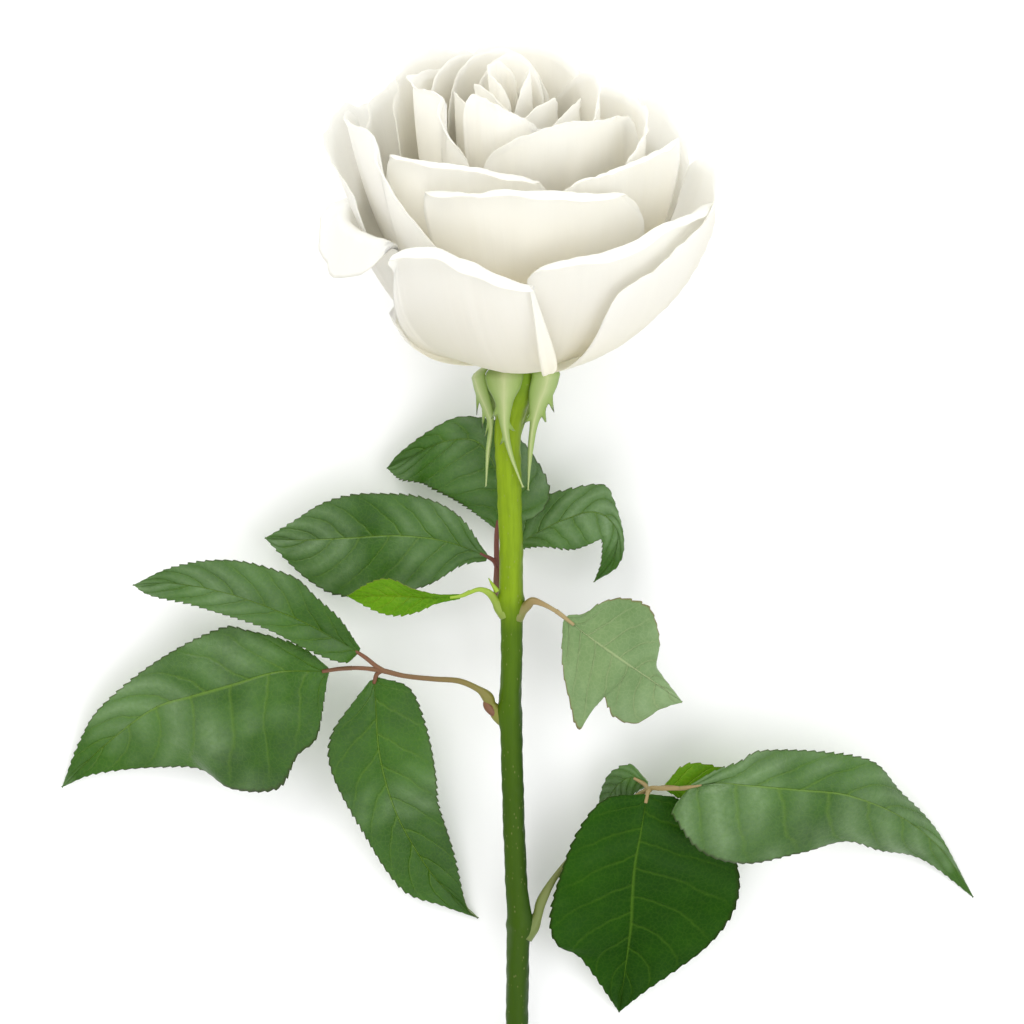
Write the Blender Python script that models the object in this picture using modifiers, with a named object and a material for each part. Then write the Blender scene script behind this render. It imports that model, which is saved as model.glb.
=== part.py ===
"""A cut garden rose lying on a flat surface.

One open bloom of spiralled petals on a hip with five sepals, a bare stem with a
slanting cut, and five leaves at its joints.  Metres, +Z up, the bloom towards +Y.
The origin is the centre of the bottom of the whole flower's box.

The outlines are set out on a layout sheet 1024 units square, x to the right and y
downwards, which lies under an eye point above the flower.  A point of the flower is
given by its place on the sheet and its own height (leaves, stem) or its distance from
the bloom's axis (petal rims), and the functions below find it in space.
"""

import math

import bmesh
import bpy
import numpy as np
from mathutils import Matrix, Vector
from mathutils.bvhtree import BVHTree

# ---------------------------------------------------------------- driving dimensions
UNIT = 0.000257          # one sheet unit
SHEET = 1024
EYE_DISTANCE = 1.40      # eye point to the middle of the sheet
EYE_TILT = math.radians(12.5)

BLOOM_BASE = (520, 357)  # where the bloom's axis meets the top of the hip, on the sheet
BASE_HEIGHT = 0.0310     # of that point above the surface
BLOOM_RISE = math.radians(19.0)   # the bloom's axis above the horizontal
BLOOM_LEAN = -0.045      # of the axis to the side
PETAL = 0.00050          # petal thickness
LEAF = 0.00045           # leaf thickness
SEPAL = 0.0006
GAP = 0.0003

CLAW_IN, CLAW_OUT = 0.0011, 0.0066   # radii of the innermost and outermost petal bases
CONE = 0.0052            # height of the cone inside the bloom that the petals stand on
FUNNEL = 0.13            # share of a straight funnel in the bowl's profile
CLEAR = 0.00142          # least distance between the middles of two petals
DENSE = 6                # points tried across each cell of a petal for that clearance
HEART = 0.036            # height of the point that the petals close round

# ---------------------------------------------------------------- layout of points
EYE_DIR = np.array([0.0, -math.sin(EYE_TILT), -math.cos(EYE_TILT)])
EYE_UP = np.array([0.0, math.cos(EYE_TILT), -math.sin(EYE_TILT)])
EYE_RIGHT = np.array([1.0, 0.0, 0.0])
EYE = -EYE_DIR * EYE_DISTANCE


def ray(px, py):
    """Direction from the eye through a place on the sheet."""
    return (
        EYE_DIR * EYE_DISTANCE
        + EYE_RIGHT * (px - SHEET / 2) * UNIT
        + EYE_UP * (SHEET / 2 - py) * UNIT
    )


def at_height(px, py, z):
    d = ray(px, py)
    return EYE + d * ((z - EYE[2]) / d[2])


BASE = at_height(*BLOOM_BASE, BASE_HEIGHT)
AXIS = np.array([BLOOM_LEAN, math.cos(BLOOM_RISE), math.sin(BLOOM_RISE)])
AXIS /= np.linalg.norm(AXIS)
FRONT = np.array([0.0, 0.0, 1.0]) - AXIS * AXIS[2]
FRONT /= np.linalg.norm(FRONT)
RIGHT = np.cross(AXIS, FRONT)


def on_bloom(phi, r, h):
    """Angle from the front (to the right), radius and height on the bloom's axis."""
    return BASE + AXIS * h + (RIGHT * math.sin(phi) + FRONT * math.cos(phi)) * r


def seen_at(px, py, r):
    """Angle, radius and height of the point seen at a place on the sheet, at radius r
    on the near side of the axis; a negative r takes the far side."""
    d = ray(px, py)
    o = EYE - BASE
    d2, o2 = d - AXIS * (d @ AXIS), o - AXIS * (o @ AXIS)
    a, b, c = d2 @ d2, 2 * d2 @ o2, o2 @ o2 - r * r
    disc = max(b * b - 4 * a * c, 0.0)
    t = (-b + (-1 if r > 0 else 1) * math.sqrt(disc)) / (2 * a)
    p = o + d * t
    h = p @ AXIS
    q = p - AXIS * h
    return math.atan2(q @ RIGHT, q @ FRONT), float(np.linalg.norm(q)), float(h)


def spline(points, count):
    """Catmull-Rom through the rows of points, evenly by length, count + 1 samples."""
    p = np.asarray(points, float)
    ends = np.vstack([2 * p[0] - p[1], p, 2 * p[-1] - p[-2]])
    fine = []
    for k in range(len(p) - 1):
        a, b, c, d = ends[k : k + 4]
        for t in np.linspace(0, 1, 16, endpoint=False):
            fine.append(
                0.5
                * (
                    2 * b
                    + (c - a) * t
                    + (2 * a - 5 * b + 4 * c - d) * t * t
                    + (3 * b - a - 3 * c + d) * t**3
                )
            )
    fine = np.array(fine + [p[-1]])
    return fine


def resample(fine, measure, count):
    """Rows of fine at even steps of the length of its measured columns."""
    step = np.linalg.norm(np.diff(measure, axis=0), axis=1)
    along = np.concatenate([[0], np.cumsum(step)])
    want = np.linspace(0, along[-1], count + 1)
    return np.column_stack([np.interp(want, along, fine[:, k]) for k in range(fine.shape[1])])


def smooth(t):
    t = min(max(t, 0.0), 1.0)
    return t * t * (3 - 2 * t)


# ---------------------------------------------------------------- petals
def petal_grid(rim, claw, claw_r, lean, narrow, bend, side, nu, nb, nr, ns=3):
    """Rows from the claw to the rolled rim, each of nu + 1 points across.

    rim    stations (angle, radius, height, roll angle, roll length)
    lean   how far round the bowl's quarter-turn the rim comes: under 90 it flares
    narrow share of the rim's spread that the claw has
    bend   share of the roll in which it turns; the rest of it is straight
    side   (roll angle, roll length) of the right margin, or None
    """
    rim = np.asarray(rim, float)
    fine = spline(rim, nu)
    mean_r = rim[:, 1].mean()
    cols = resample(fine, np.column_stack([fine[:, 0] * mean_r, fine[:, 2]]), nu)
    rows = np.zeros((nb + nr + 1, nu + 1, 3))
    r0, h0 = claw_r, 0.0005 + CONE * (1 - claw_r / (CLAW_OUT * 1.08))
    for i, (phi, rad, high, turn, length) in enumerate(cols):
        foot, wide = (claw + (phi - claw) * k for k in (min(narrow, 0.32), narrow))
        psi_e = lean
        # the roll, from its start, so that its crest comes out at the rim's height
        dr = (rad - r0) * math.cos(psi_e) / math.sin(psi_e)
        dh = (high - h0) * math.sin(psi_e) / (1 - math.cos(psi_e))
        theta0 = math.atan2(dr, dh)
        roll = [(0.0, 0.0)]
        for q in range(1, nr + 1):
            th = theta0 + turn * min(1.0, (q - 0.5) / nr / bend)
            roll.append(
                (roll[-1][0] + math.sin(th) * length / nr, roll[-1][1] + math.cos(th) * length / nr)
            )
        rise = max(b for _, b in roll)
        top = high - rise
        for j in range(nb + 1):
            psi = psi_e * j / nb
            s = math.sin(psi) / math.sin(psi_e)
            c = (1 - math.cos(psi)) / (1 - math.cos(psi_e))
            c = c * (1 - FUNNEL) + s * FUNNEL
            low = foot + (wide - foot) * smooth(s / 0.3)
            f = low + (phi - low) * (0.4 * s + 0.6 * c) ** 0.7
            rows[j, i] = f, r0 + (rad - r0) * s, h0 + (top - h0) * c
        for q in range(1, nr + 1):
            rows[nb + q, i] = phi, rad + roll[q][0], top + roll[q][1]
    grid = np.array([[on_bloom(*p) for p in row] for row in rows])
    if side:
        grid = roll_margin(grid, side[0], side[1], nb, ns)
    return grid


def roll_margin(grid, turn, length, nb, ns):
    """Adds ns columns past the last one, which fold outwards over the petal's back.  The
    fold is narrow at the rim and widest half way down."""
    rows = grid.shape[0]
    edge, before = grid[:, -1], grid[:, -2]
    extra = np.zeros((rows, ns, 3))
    for j in range(rows):
        t = edge[j] - before[j]
        t /= np.linalg.norm(t)
        up = grid[min(j + 1, rows - 1), -1] - grid[max(j - 1, 0), -1]
        n = np.cross(up, t)
        n /= max(np.linalg.norm(n), 1e-9)
        out = edge[j] - BASE
        out = out - AXIS * (out @ AXIS)
        if n @ out < 0:
            n = -n
        reach = length * (0.12 + 0.88 * smooth(j / nb / 0.35)) * (
            0.22 + 0.78 * smooth((1.08 - j / nb) / 0.5)
        )
        p = edge[j]
        for q in range(ns):
            a = turn * min(1.0, (q + 0.5) / ns / 0.5)
            p = p + (t * math.cos(a) + n * math.sin(a)) * reach / ns
            extra[j, q] = p
    return np.concatenate([grid, extra], axis=1)


def seen(*stations):
    """Rim stations given as (x, y, radius mm, roll degrees, roll mm) on the sheet."""
    out = []
    for px, py, r, turn, length in stations:
        phi, rad, h = seen_at(px, py, r / 1000)
        if out and phi - out[-1][0] > math.pi:
            phi -= 2 * math.pi
        if out and out[-1][0] - phi > math.pi:
            phi += 2 * math.pi
        out.append((phi, rad, h, math.radians(turn), length / 1000))
    return out


def around(*stations):
    """Rim stations given as (angle deg, radius mm, height mm, roll deg, roll mm)."""
    return [
        (math.radians(a), r / 1000, h / 1000, math.radians(turn), length / 1000)
        for a, r, h, turn, length in stations
    ]


def plain(centre, half, r, h, turn=40, length=4, twist=0.0, drop=0.16):
    """Rim of a petal that other petals hide: a rounded top, one edge further out."""
    out = []
    for u in (-1.0, -0.72, -0.36, 0.0, 0.36, 0.72, 1.0):
        out.append(
            (
                math.radians(centre + half * u),
                (r + twist * u) / 1000,
                h * (1 - drop * abs(u) ** 2.4) / 1000,
                math.radians(turn * (1 - 0.5 * abs(u))),
                length / 1000,
            )
        )
    return out


# name, rim, claw angle, lean of the bowl (deg), share of spread at the claw, bend, side
PETALS = [
    ("petal_01", around((33, 40.5, 35, 20, 3), (52, 45.5, 42, 25, 3.5), (68, 48.2, 45.5, 30, 4),
                        (82, 49.4, 49.5, 30, 4), (95, 48.6, 50, 25, 4), (108, 46, 44.5, 15, 3),
                        (120, 43.5, 39, 10, 2.5)), 52, 78, 1.6, 0.9, None),
    ("petal_02", plain(181, 48, 42, 45, 25, 5), 180, 78, 0.25, 0.9, None),
    ("petal_03", around((-118, 36, 38, 30, 4), (-104, 38, 41, 60, 6), (-94, 39.2, 43, 110, 10),
                        (-84, 39.8, 45, 140, 15), (-71, 39.8, 46.2, 150, 16),
                        (-58, 38.6, 47.2, 150, 12.5), (-49, 37.0, 47.4, 130, 8.5)), -82, 64, 0.6, 0.3, None),
    ("petal_04", seen((393, 275, 39.6, 60, 3), (402, 250, 40.4, 130, 5), (436, 246, 40.8, 150, 6),
                      (470, 259, 40.8, 150, 6.5), (505, 274, 40.3, 150, 6),
                      (531, 284, 39.4, 110, 4)), -20, 86, 1.9, 0.9, (165, 6.5)),
    ("petal_05", plain(-142, 40, 38.5, 49, 30, 4), -142, 64, 0.25, 0.9, None),
    ("petal_06", seen((523, 272, 35.6, 80, 4), (560, 256, 37.2, 110, 6), (600, 249, 39.4, 120, 7),
                      (635, 236, 42.2, 120, 7), (668, 218, 45.0, 110, 6.5), (698, 205, 46.2, 100, 4.5),
                      (716, 196, 46.0, 50, 3)), 34, 80, 0.6, 0.9, None),
    ("petal_07", plain(142, 40, 40.5, 49, 30, 4), 142, 70, 0.25, 0.9, None),
    ("petal_08", around((-68, 38.5, 50, 10, 3), (-80, 41.5, 58.5, 20, 3.5), (-97, 43.4, 62, 25, 4),
                        (-113, 43.8, 62.5, 20, 4), (-127, 41.5, 59, 20, 4),
                        (-140, 38.5, 54, 10, 4)), -97, 66, 0.5, 0.9, None),
    ("petal_09", around((92, 41.5, 47, 20, 4), (106, 43, 53.5, 25, 4), (121, 42.5, 58.5, 15, 4),
                        (136, 39, 57, 20, 4), (150, 36.5, 58, 20, 4),
                        (164, 34.5, 56, 10, 4)), 128, 70, 0.5, 0.9, None),
    ("petal_10", seen((454, 262, 34.5, 20, 3), (438, 248, 35.5, 25, 3), (419, 223, 36.2, 30, 3),
                      (397, 189, 37, 30, 3), (380, 162, 37.6, 30, 3), (368, 128, 38.6, 30, 3),
                      (360, 107, -39.2, 20, 3)), -62, 74, 0.5, 0.9, None),
    ("petal_11", plain(-172, 44, 36.5, 58, 35, 4), -172, 78, 0.3, 0.9, None),
    ("petal_12", around((-78, 32.8, 57, 15, 3), (-94, 34, 62, 25, 3.5), (-110, 34.8, 65.5, 30, 3.5),
                        (-122, 33.2, 68, 25, 3.5), (-134, 31.6, 69, 20, 3.5),
                        (-148, 31, 66, 10, 3)), -118, 76, 0.5, 0.9, None),
    ("petal_13", around((-160, 28.5, 70.5, 20, 3), (-175, 29, 71.5, 25, 3.5), (-190, 29.5, 71.5, 30, 3.5),
                        (-204, 29.8, 69.5, 30, 3.5), (-217, 31.4, 65, 25, 3.5),
                        (-230, 32.6, 61, 15, 3)), -198, 82, 0.5, 0.9, None),
    ("petal_14", seen((421, 191, 32.6, 80, 3.5), (446, 189, 32.4, 130, 4.5), (476, 191, 32, 120, 4),
                      (502, 187, 31.6, 130, 4.5), (556, 190, 31.8, 140, 5), (598, 192, 33, 140, 5),
                      (622, 194, 34.3, 90, 3.5), (645, 211, 35.8, 20, 2)), 5, 88, 0.5, 0.9, None),
    ("petal_15", seen((556, 186, 28.9, 60, 3), (588, 176, 30, 90, 4), (620, 163, 32, 100, 4.5),
                      (655, 148, 36.4, 100, 5), (682, 134, 40, 70, 4)), 55, 82, 0.5, 0.9, None),
    ("petal_16", seen((384, 151, 34, 60, 3), (406, 154, 32.0, 90, 4), (440, 160, 29.4, 110, 5),
                      (480, 166, 27.2, 110, 5), (520, 173, 26.2, 110, 4.5),
                      (554, 186, 26.2, 50, 3)), -32, 88, 0.5, 0.9, None),
    ("petal_17", around((-92, 27, 66, 15, 3), (-108, 28, 72.5, 20, 3), (-124, 27.6, 77, 25, 3),
                        (-140, 26.4, 76, 20, 3), (-156, 25.6, 74, 20, 3),
                        (-172, 25, 72, 10, 3)), -132, 86, 0.5, 0.9, None),
    ("petal_18", around((56, 32.0, 63, 20, 3), (76, 33.2, 65.5, 30, 3), (96, 33.2, 65.5, 30, 3),
                        (116, 30.8, 65.5, 30, 3), (136, 28.6, 66, 20, 3)), 98, 84, 0.5, 0.9, None),
    ("petal_19", seen((474, 160, 21.4, 30, 2.5), (455, 139, 22.0, 50, 2.5), (441, 113, 22.4, 60, 3),
                      (438, 90, 22.4, 55, 3), (446, 68, -22.6, 40, 2.5), (462, 54, -22.4, 20, 2)),
     -88, 90, 0.4, 0.9, None),
    ("petal_20", plain(172, 52, 24.0, 75.5, 30, 3), 172, 90, 0.4, 0.9, None),
    ("petal_21", seen((480, 158, 19.4, 25, 2.5), (515, 138, 19.2, 40, 3), (553, 123, 20.2, 60, 3),
                      (590, 118, 23, 70, 3.5), (620, 117, 26.6, 70, 3.5),
                      (641, 125, 28.6, 50, 2.5)), 20, 90, 0.4, 0.9, None),
    ("petal_22", plain(100, 54, 22.4, 74, 30, 2.5, 1.0, 0.2), 100, 92, 0.4, 0.9, None),
    ("petal_23", plain(-140, 58, 19.4, 76.5, 20, 2, -0.8, 0.2), -140, 94, 0.4, 0.9, None),
    ("petal_24", seen((462, 104, 16.8, 15, 1.5), (470, 94, 16.4, 20, 2), (486, 98, 16.4, 25, 2),
                      (508, 110, 15.6, 25, 2), (542, 126, 15.0, 15, 2)), -30, 96, 0.6, 0.9, None),
    ("petal_25", plain(66, 56, 16.8, 73.5, 35, 2.5, 0.8, 0.24), 66, 96, 0.45, 0.9, None),
    ("petal_26", plain(-168, 66, 14.8, 78.5, 20, 2, 0.6, 0.2), -168, 98, 0.45, 0.9, None),
    ("petal_27", plain(-70, 66, 12.4, 76, 20, 1.8, -0.6, 0.22), -70, 98, 0.45, 0.9, None),
    ("petal_28", plain(50, 66, 11.6, 75, 30, 2.0, 0.6, 0.22), 50, 98, 0.5, 0.9, None),
    ("petal_29", plain(168, 76, 9.6, 79.5, 20, 1.6, 0.5, 0.2), 168, 100, 0.5, 0.9, None),
    ("petal_30", plain(-50, 84, 7.8, 78.5, 15, 1.4, 0.5, 0.2), -50, 100, 0.55, 0.9, None),
    ("petal_31", plain(84, 92, 5.9, 79.5, 15, 1.2, 0.5, 0.2), 84, 100, 0.6, 0.9, None),
    ("petal_32", plain(-110, 124, 4.0, 81, 10, 1.0, 0.7, 0.06), -150, 98, 0.55, 0.9, None),
]


def claw_radius(k):
    """Bases stand on a spiral, the outermost petal's furthest from the axis."""
    return CLAW_OUT + (CLAW_IN - CLAW_OUT) * k / (len(PETALS) - 1)


def laid_over(grid, inner):
    """Moves a petal's points out from the heart of the bloom until they lie clear of the
    petals inside it.  inner is a tree of those petals' faces."""
    if inner is None:
        return grid
    heart = BASE + AXIS * HEART
    nv, nu = grid.shape[0] - 1, grid.shape[1] - 1
    away = grid - heart
    away = away / np.linalg.norm(away, axis=2)[..., None]
    need = np.zeros(grid.shape[:2])
    for jj in range(nv * DENSE + 1):
        for ii in range(nu * DENSE + 1):
            j, i = min(jj // DENSE, nv - 1), min(ii // DENSE, nu - 1)
            v, u = jj / DENSE - j, ii / DENSE - i
            p = (grid[j, i] * (1 - u) + grid[j, i + 1] * u) * (1 - v) + (
                grid[j + 1, i] * (1 - u) + grid[j + 1, i + 1] * u
            ) * v
            line = p - heart
            far = np.linalg.norm(line)
            line /= far
            hit = inner.ray_cast(Vector(heart + line * 0.14), Vector(-line), 0.139)[0]
            if hit is None:
                continue
            lack = (np.array(hit) - heart) @ line + CLEAR - far
            if lack > 0:
                # every corner that carries this point, or would at the edge of a petal
                for b in range(max(0, round(j + v - 0.5)), min(nv, round(j + v + 0.5)) + 1):
                    for a in range(max(0, round(i + u - 0.7)), min(nu, round(i + u + 0.7)) + 1):
                        need[b, a] = max(need[b, a], lack)
    need[0] = np.minimum(need[0], 0.0005)
    push = need.copy()
    for _ in range(3):
        wide = np.pad(push, 1, mode="edge")
        mean = (wide[:-2, 1:-1] + wide[2:, 1:-1] + wide[1:-1, :-2] + wide[1:-1, 2:]) / 4
        push = np.maximum(need, 0.5 * push + 0.5 * mean)
    push[0] = np.minimum(push[0], 0.0005)
    return grid + away * push[..., None]


def faces_of(grid):
    """Corner points and quads of a grid of rows."""
    nv, nu = grid.shape[:2]
    quads = [
        (j * nu + i, j * nu + i + 1, (j + 1) * nu + i + 1, (j + 1) * nu + i)
        for j in range(nv - 1)
        for i in range(nu - 1)
    ]
    return [Vector(p) for p in grid.reshape(-1, 3)], quads


# ---------------------------------------------------------------- leaves and sepals
# Each blade is lofted between its left edge, midrib and right edge, base to tip.  The
# midrib's points are (x, y, height mm); an edge's are (x, y, mm above the midrib).
BLADES = {
    "leaf_a_leaflet_1": (
        [(359, 652, 19), (330, 636, 22), (300, 621, 24.5), (257, 603, 26), (213, 590, 25), (170, 583, 22), (133, 585, 18)],
        [(360, 648, 0), (341, 620, 2.5), (315, 596, 3), (289, 575, 3), (226, 559, 3), (172, 567, 1.5), (133, 585, 0)],
        [(355, 656, 0), (343, 663, 0), (309, 651, -1), (261, 627, -1), (200, 607, -1), (151, 596, 0), (133, 585, 0)],
    ),
    "leaf_a_leaflet_2": (
        [(330, 671, 17.5), (278, 672, 19.5), (235, 684, 19), (192, 696, 16), (153, 709, 11), (105, 745, 4), (62, 787, 0.8)],
        [(328, 674, 0), (318, 735, -1), (298, 755, -1), (278, 789, -2), (231, 789, -3), (200, 769, -3), (164, 766, -1.5), (96, 774, 0), (62, 787, 0)],
        [(328, 667, 0), (300, 646, -1), (248, 630, -1), (220, 628, -1), (161, 658, -1), (103, 703, 0), (79, 742, 0), (62, 787, 0)],
    ),
    "leaf_a_leaflet_3": (
        [(374, 679, 17), (376, 712, 17.5), (379, 751, 15.5), (390, 797, 11.5), (407, 835, 8), (437, 880, 4), (478, 918, 1)],
        [(378, 677, 0), (409, 688, 1), (425, 724, 1.5), (436, 770, 1.5), (439, 804, 1), (453, 848, 0.5), (466, 904, 0), (478, 918, 0)],
        [(370, 681, 0), (354, 701, 1.5), (331, 738, 2.5), (332, 774, 2.5), (363, 833, 1.5), (401, 889, 0.5), (443, 906, 0), (478, 918, 0)],
    ),
    "leaf_b_leaflet_1": (
        [(488, 556, 15.5), (445, 541, 16), (400, 536, 16), (350, 538, 14), (300, 540, 11), (265, 538, 8)],
        [(486, 561, 0), (461, 566, 0), (419, 588, -1), (347, 597, -1.5), (311, 583, -1), (278, 552, 0), (265, 538, 0)],
        [(486, 553, 0), (460, 516, 1.5), (422, 497, 2), (369, 493, 2), (327, 501, 1.5), (295, 520, 0.5), (265, 538, 0)],
    ),
    "leaf_b_leaflet_2": (
        [(497, 528, 14.5), (500, 495, 14.5), (494, 465, 15), (476, 441, 15), (445, 441, 12.5), (415, 455, 8), (387, 468, 4)],
        [(494, 528, 0), (480, 517, -0.5), (459, 503, -1), (440, 493, -1), (419, 483, -1), (401, 480, 0), (387, 468, 0)],
        [(501, 528, 0), (537, 515, -1), (550, 493, -1), (538, 462, -1), (505, 425, 0), (463, 417, 1), (431, 429, 1), (400, 452, 0), (387, 468, 0)],
    ),
    "leaf_b_leaflet_3": (
        [(507, 551, 11), (530, 537, 11.5), (561, 521, 13.5), (595, 512, 14.5), (617, 530, 12.5), (612, 560, 10.5), (594, 582, 12)],
        [(507, 546, 0), (524, 503, -1.5), (551, 493, -2), (600, 484, 0), (614, 500, 0), (624, 540, 0), (618, 566, 0), (594, 582, 0)],
        [(508, 554, 0), (524, 549, 0), (545, 547, 0), (571, 550, 0), (586, 546, 1), (601, 540, 2), (601, 560, 2), (594, 582, 0)],
    ),
    "leaf_c_blade": (
        [(461, 596, 25.5), (436, 598, 25), (412, 597, 24.5), (385, 596, 23), (347, 596, 20)],
        [(460, 599, 0), (436, 604, 0), (419, 612, 1), (399, 616, 1), (377, 612, 0.5), (347, 596, 0)],
        [(459, 594, 0), (437, 594, 0.5), (419, 590, 1.5), (386, 579, 2), (368, 583, 1), (347, 596, 0)],
    ),
    "leaf_d_blade": (
        [(565, 618, 24), (588, 636, 26), (622, 660, 26), (659, 685, 22), (682, 702, 19)],
        [(569, 615, 0), (586, 613, -1), (604, 601, -2), (626, 598, -3), (651, 609, -3), (660, 646, -1.5), (658, 668, 0), (682, 702, 0)],
        [(563, 622, 0), (562, 655, -1.5), (569, 696, -3), (579, 729, -4), (600, 695, -2), (613, 717, -2), (635, 725, -2), (659, 710, -0.5), (682, 702, 0)],
    ),
    "leaf_e_leaflet_1": (
        [(647, 795, 16.5), (641, 830, 17), (635, 865, 15.5), (632, 900, 12.5), (630, 935, 8.5), (619, 1012, 1)],
        [(651, 794, 0), (681, 800, -2), (712, 828, -4), (737, 865, -5), (735, 910, -4.5), (704, 950, -2.5), (650, 988, -0.8), (619, 1012, 0)],
        [(643, 794, 0), (605, 799, 0.5), (578, 829, 1), (560, 874, 1), (550, 922, 0), (558, 946, 0), (581, 959, -0.5), (608, 997, 0), (619, 1012, 0)],
    ),
    "leaf_e_leaflet_2": (
        [(690, 787, 20), (720, 783, 22.5), (746, 785, 24), (800, 790, 23), (851, 796, 20), (905, 819, 13), (944, 853, 5.5), (973, 897, 0.8)],
        [(692, 784, 0), (714, 771, 0.5), (740, 761, 0.5), (761, 750, 0), (818, 751, -0.5), (872, 761, -1), (902, 793, -1), (938, 832, -0.5), (973, 897, 0)],
        [(688, 790, 0), (672, 808, -0.5), (675, 820, -0.5), (701, 851, -0.5), (749, 864, -1), (800, 853, -1), (845, 841, -1), (880, 849, -0.5), (923, 860, 0), (973, 897, 0)],
    ),
    "leaf_e_leaflet_3": (
        [(648, 782, 13.5), (632, 777, 12.5), (617, 786, 10), (606, 806, 6), (600, 826, 3)],
        [(648, 787, 0), (640, 790, 0), (628, 800, 0), (616, 816, 0), (600, 826, 0)],
        [(645, 778, 0), (630, 764, 0), (610, 773, 0), (600, 795, 0), (600, 826, 0)],
    ),
    "leaf_e_leaflet_4": (
        [(664, 786, 13.5), (690, 787, 13), (715, 792, 11.5), (740, 803, 9), (762, 820, 6)],
        [(667, 782, 0), (680, 767, 0), (700, 763, 0), (734, 772, -0.5), (757, 793, -0.5), (762, 820, 0)],
        [(665, 790, 0), (682, 800, -0.5), (703, 812, -1), (730, 822, -1), (762, 820, 0)],
    ),
}

# Sepals hang from the rim of the hip and end in a thin tip along the stem.
SEPALS = {
    "sepal_1": (
        [(504, 377, 37.6), (504, 388, 36.6), (504, 402, 34.4), (505, 428, 31.6), (511, 455, 29), (523, 487, 26.5)],
        [(523, 377, -1.2), (520, 388, -1), (513, 402, -0.5), (509, 428, 0), (513, 455, 0), (523, 487, 0)],
        [(485, 377, -1.6), (488, 388, -1), (495, 402, -0.5), (501, 428, 0), (509, 455, 0), (523, 487, 0)],
    ),
    "sepal_2": (
        [(546, 375, 34.5), (543, 388, 32.5), (538, 402, 30), (533, 422, 27.8), (530, 450, 25), (528, 490, 22.5)],
        [(560, 374, -3.8), (556, 388, -3), (547, 406, -1.5), (538, 424, -0.5), (533, 450, 0), (528, 490, 0)],
        [(532, 377, 1.6), (529, 390, 1.2), (529, 405, 0.5), (530, 423, 0), (528, 450, 0), (528, 490, 0)],
    ),
    "sepal_3": (
        [(477, 376, 31.5), (481, 390, 30), (487, 406, 28), (491, 424, 26), (488, 452, 24), (486, 486, 22)],
        [(485, 374, 3), (488, 390, 2), (492, 406, 1), (494, 424, 0), (490, 452, 0), (486, 486, 0)],
        [(472, 378, -3), (475, 391, -2), (482, 408, -1), (488, 426, 0), (486, 452, 0), (486, 486, 0)],
    ),
    "sepal_4": (
        [(499, 374, 19.5), (496, 388, 19), (497, 404, 18.6), (499, 420, 18.3), (501, 445, 17.8)],
        [(487, 376, 3), (487, 388, 2), (491, 404, 1), (496, 420, 0), (501, 445, 0)],
        [(510, 374, -1), (505, 388, -0.8), (503, 404, -0.5), (502, 420, 0), (501, 445, 0)],
    ),
    "sepal_5": (
        [(534, 374, 19.5), (532, 388, 19), (528, 404, 18.6), (523, 420, 18.3), (518, 445, 17.8)],
        [(523, 374, -1), (522, 388, -0.8), (521, 404, -0.5), (520, 420, 0), (518, 445, 0)],
        [(545, 376, 3), (542, 388, 2), (535, 404, 1), (526, 420, 0), (518, 445, 0)],
    ),
}

# Stem and hip: (x, y, height mm, radius mm).  The last two points run past the sheet.
STEM = [
    (520.3, 344.5, 31.6, 0.9), (520.2, 348, 31.2, 2.2), (520, 357, 30.2, 5.4), (520, 360, 29.9, 6.4),
    (519.7, 365, 29.3, 6.8), (518.8, 374, 28.2, 6.4), (516.5, 387, 26.9, 5.2),
    (512.5, 402, 25.8, 4.1), (509, 418, 25.4, 3.6), (507.5, 440, 24.9, 3.3), (509, 480, 23.8, 3.1),
    (511, 540, 22.3, 3.0), (511, 585, 21.1, 3.05), (510.5, 600, 20.8, 3.5), (511.5, 616, 20.4, 2.9),
    (512, 650, 19.5, 2.75), (510.5, 695, 18.3, 2.8), (509.5, 714, 17.8, 3.3), (511, 733, 17.3, 2.85),
    (513, 790, 15.9, 2.8), (515.5, 870, 13.8, 2.85), (518.5, 906, 12.8, 3.0), (520, 924, 12.3, 3.6),
    (518.5, 942, 11.8, 3.0), (517.5, 975, 11, 2.95), (517, 1030, 9.5, 2.9), (518, 1110, 7.0, 2.9),
    (520, 1220, 3.4, 2.9),
]
CUT_AT = (519, 1205, 4)      # middle of the slanting cut, with the height of the stem there
CUT_SLANT = math.radians(38)

# Leaf stalks: (x, y, height mm, radius mm)
STALKS = {
    "leaf_a_stalk": [(491.5, 705, 17.9, 1.3), (487.5, 697, 18.6, 1.5), (478, 689, 20, 1.15), (459, 681, 21, 1.0),
                     (434, 679, 21, 0.9), (405, 676, 20, 0.85), (384, 671, 19, 0.9), (366, 668.5, 18.3, 0.75),
                     (350, 668, 18, 0.7), (338, 669, 17.8, 0.65)],
    "leaf_b_stalk": [(500, 594, 15.6, 1.6), (498, 582, 14.8, 1.2), (497, 566, 14.5, 1.0), (496.5, 548, 14.4, 0.9),
                     (496.5, 534, 14.5, 0.8)],
    "leaf_c_stalk": [(495.5, 601, 22.6, 1.1), (489, 593, 24.3, 0.9), (479, 589.5, 25.4, 0.8), (466, 594, 25.7, 0.7)],
    "leaf_d_stalk": [(526.5, 606, 22.2, 1.3), (533, 601, 23.6, 1.0), (545, 605, 24.2, 0.85), (560, 613.5, 24.2, 0.7)],
    "leaf_e_stalk": [(537.5, 915, 12.5, 1.3), (542, 900, 12.9, 1.35), (556, 876, 12.9, 1.1), (585, 842, 12.3, 1.0),
                     (622, 807, 12.6, 0.95), (648, 789.5, 14.6, 0.85), (662, 788.5, 16.6, 0.8), (684, 788.5, 19.3, 0.7)],
}


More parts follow.
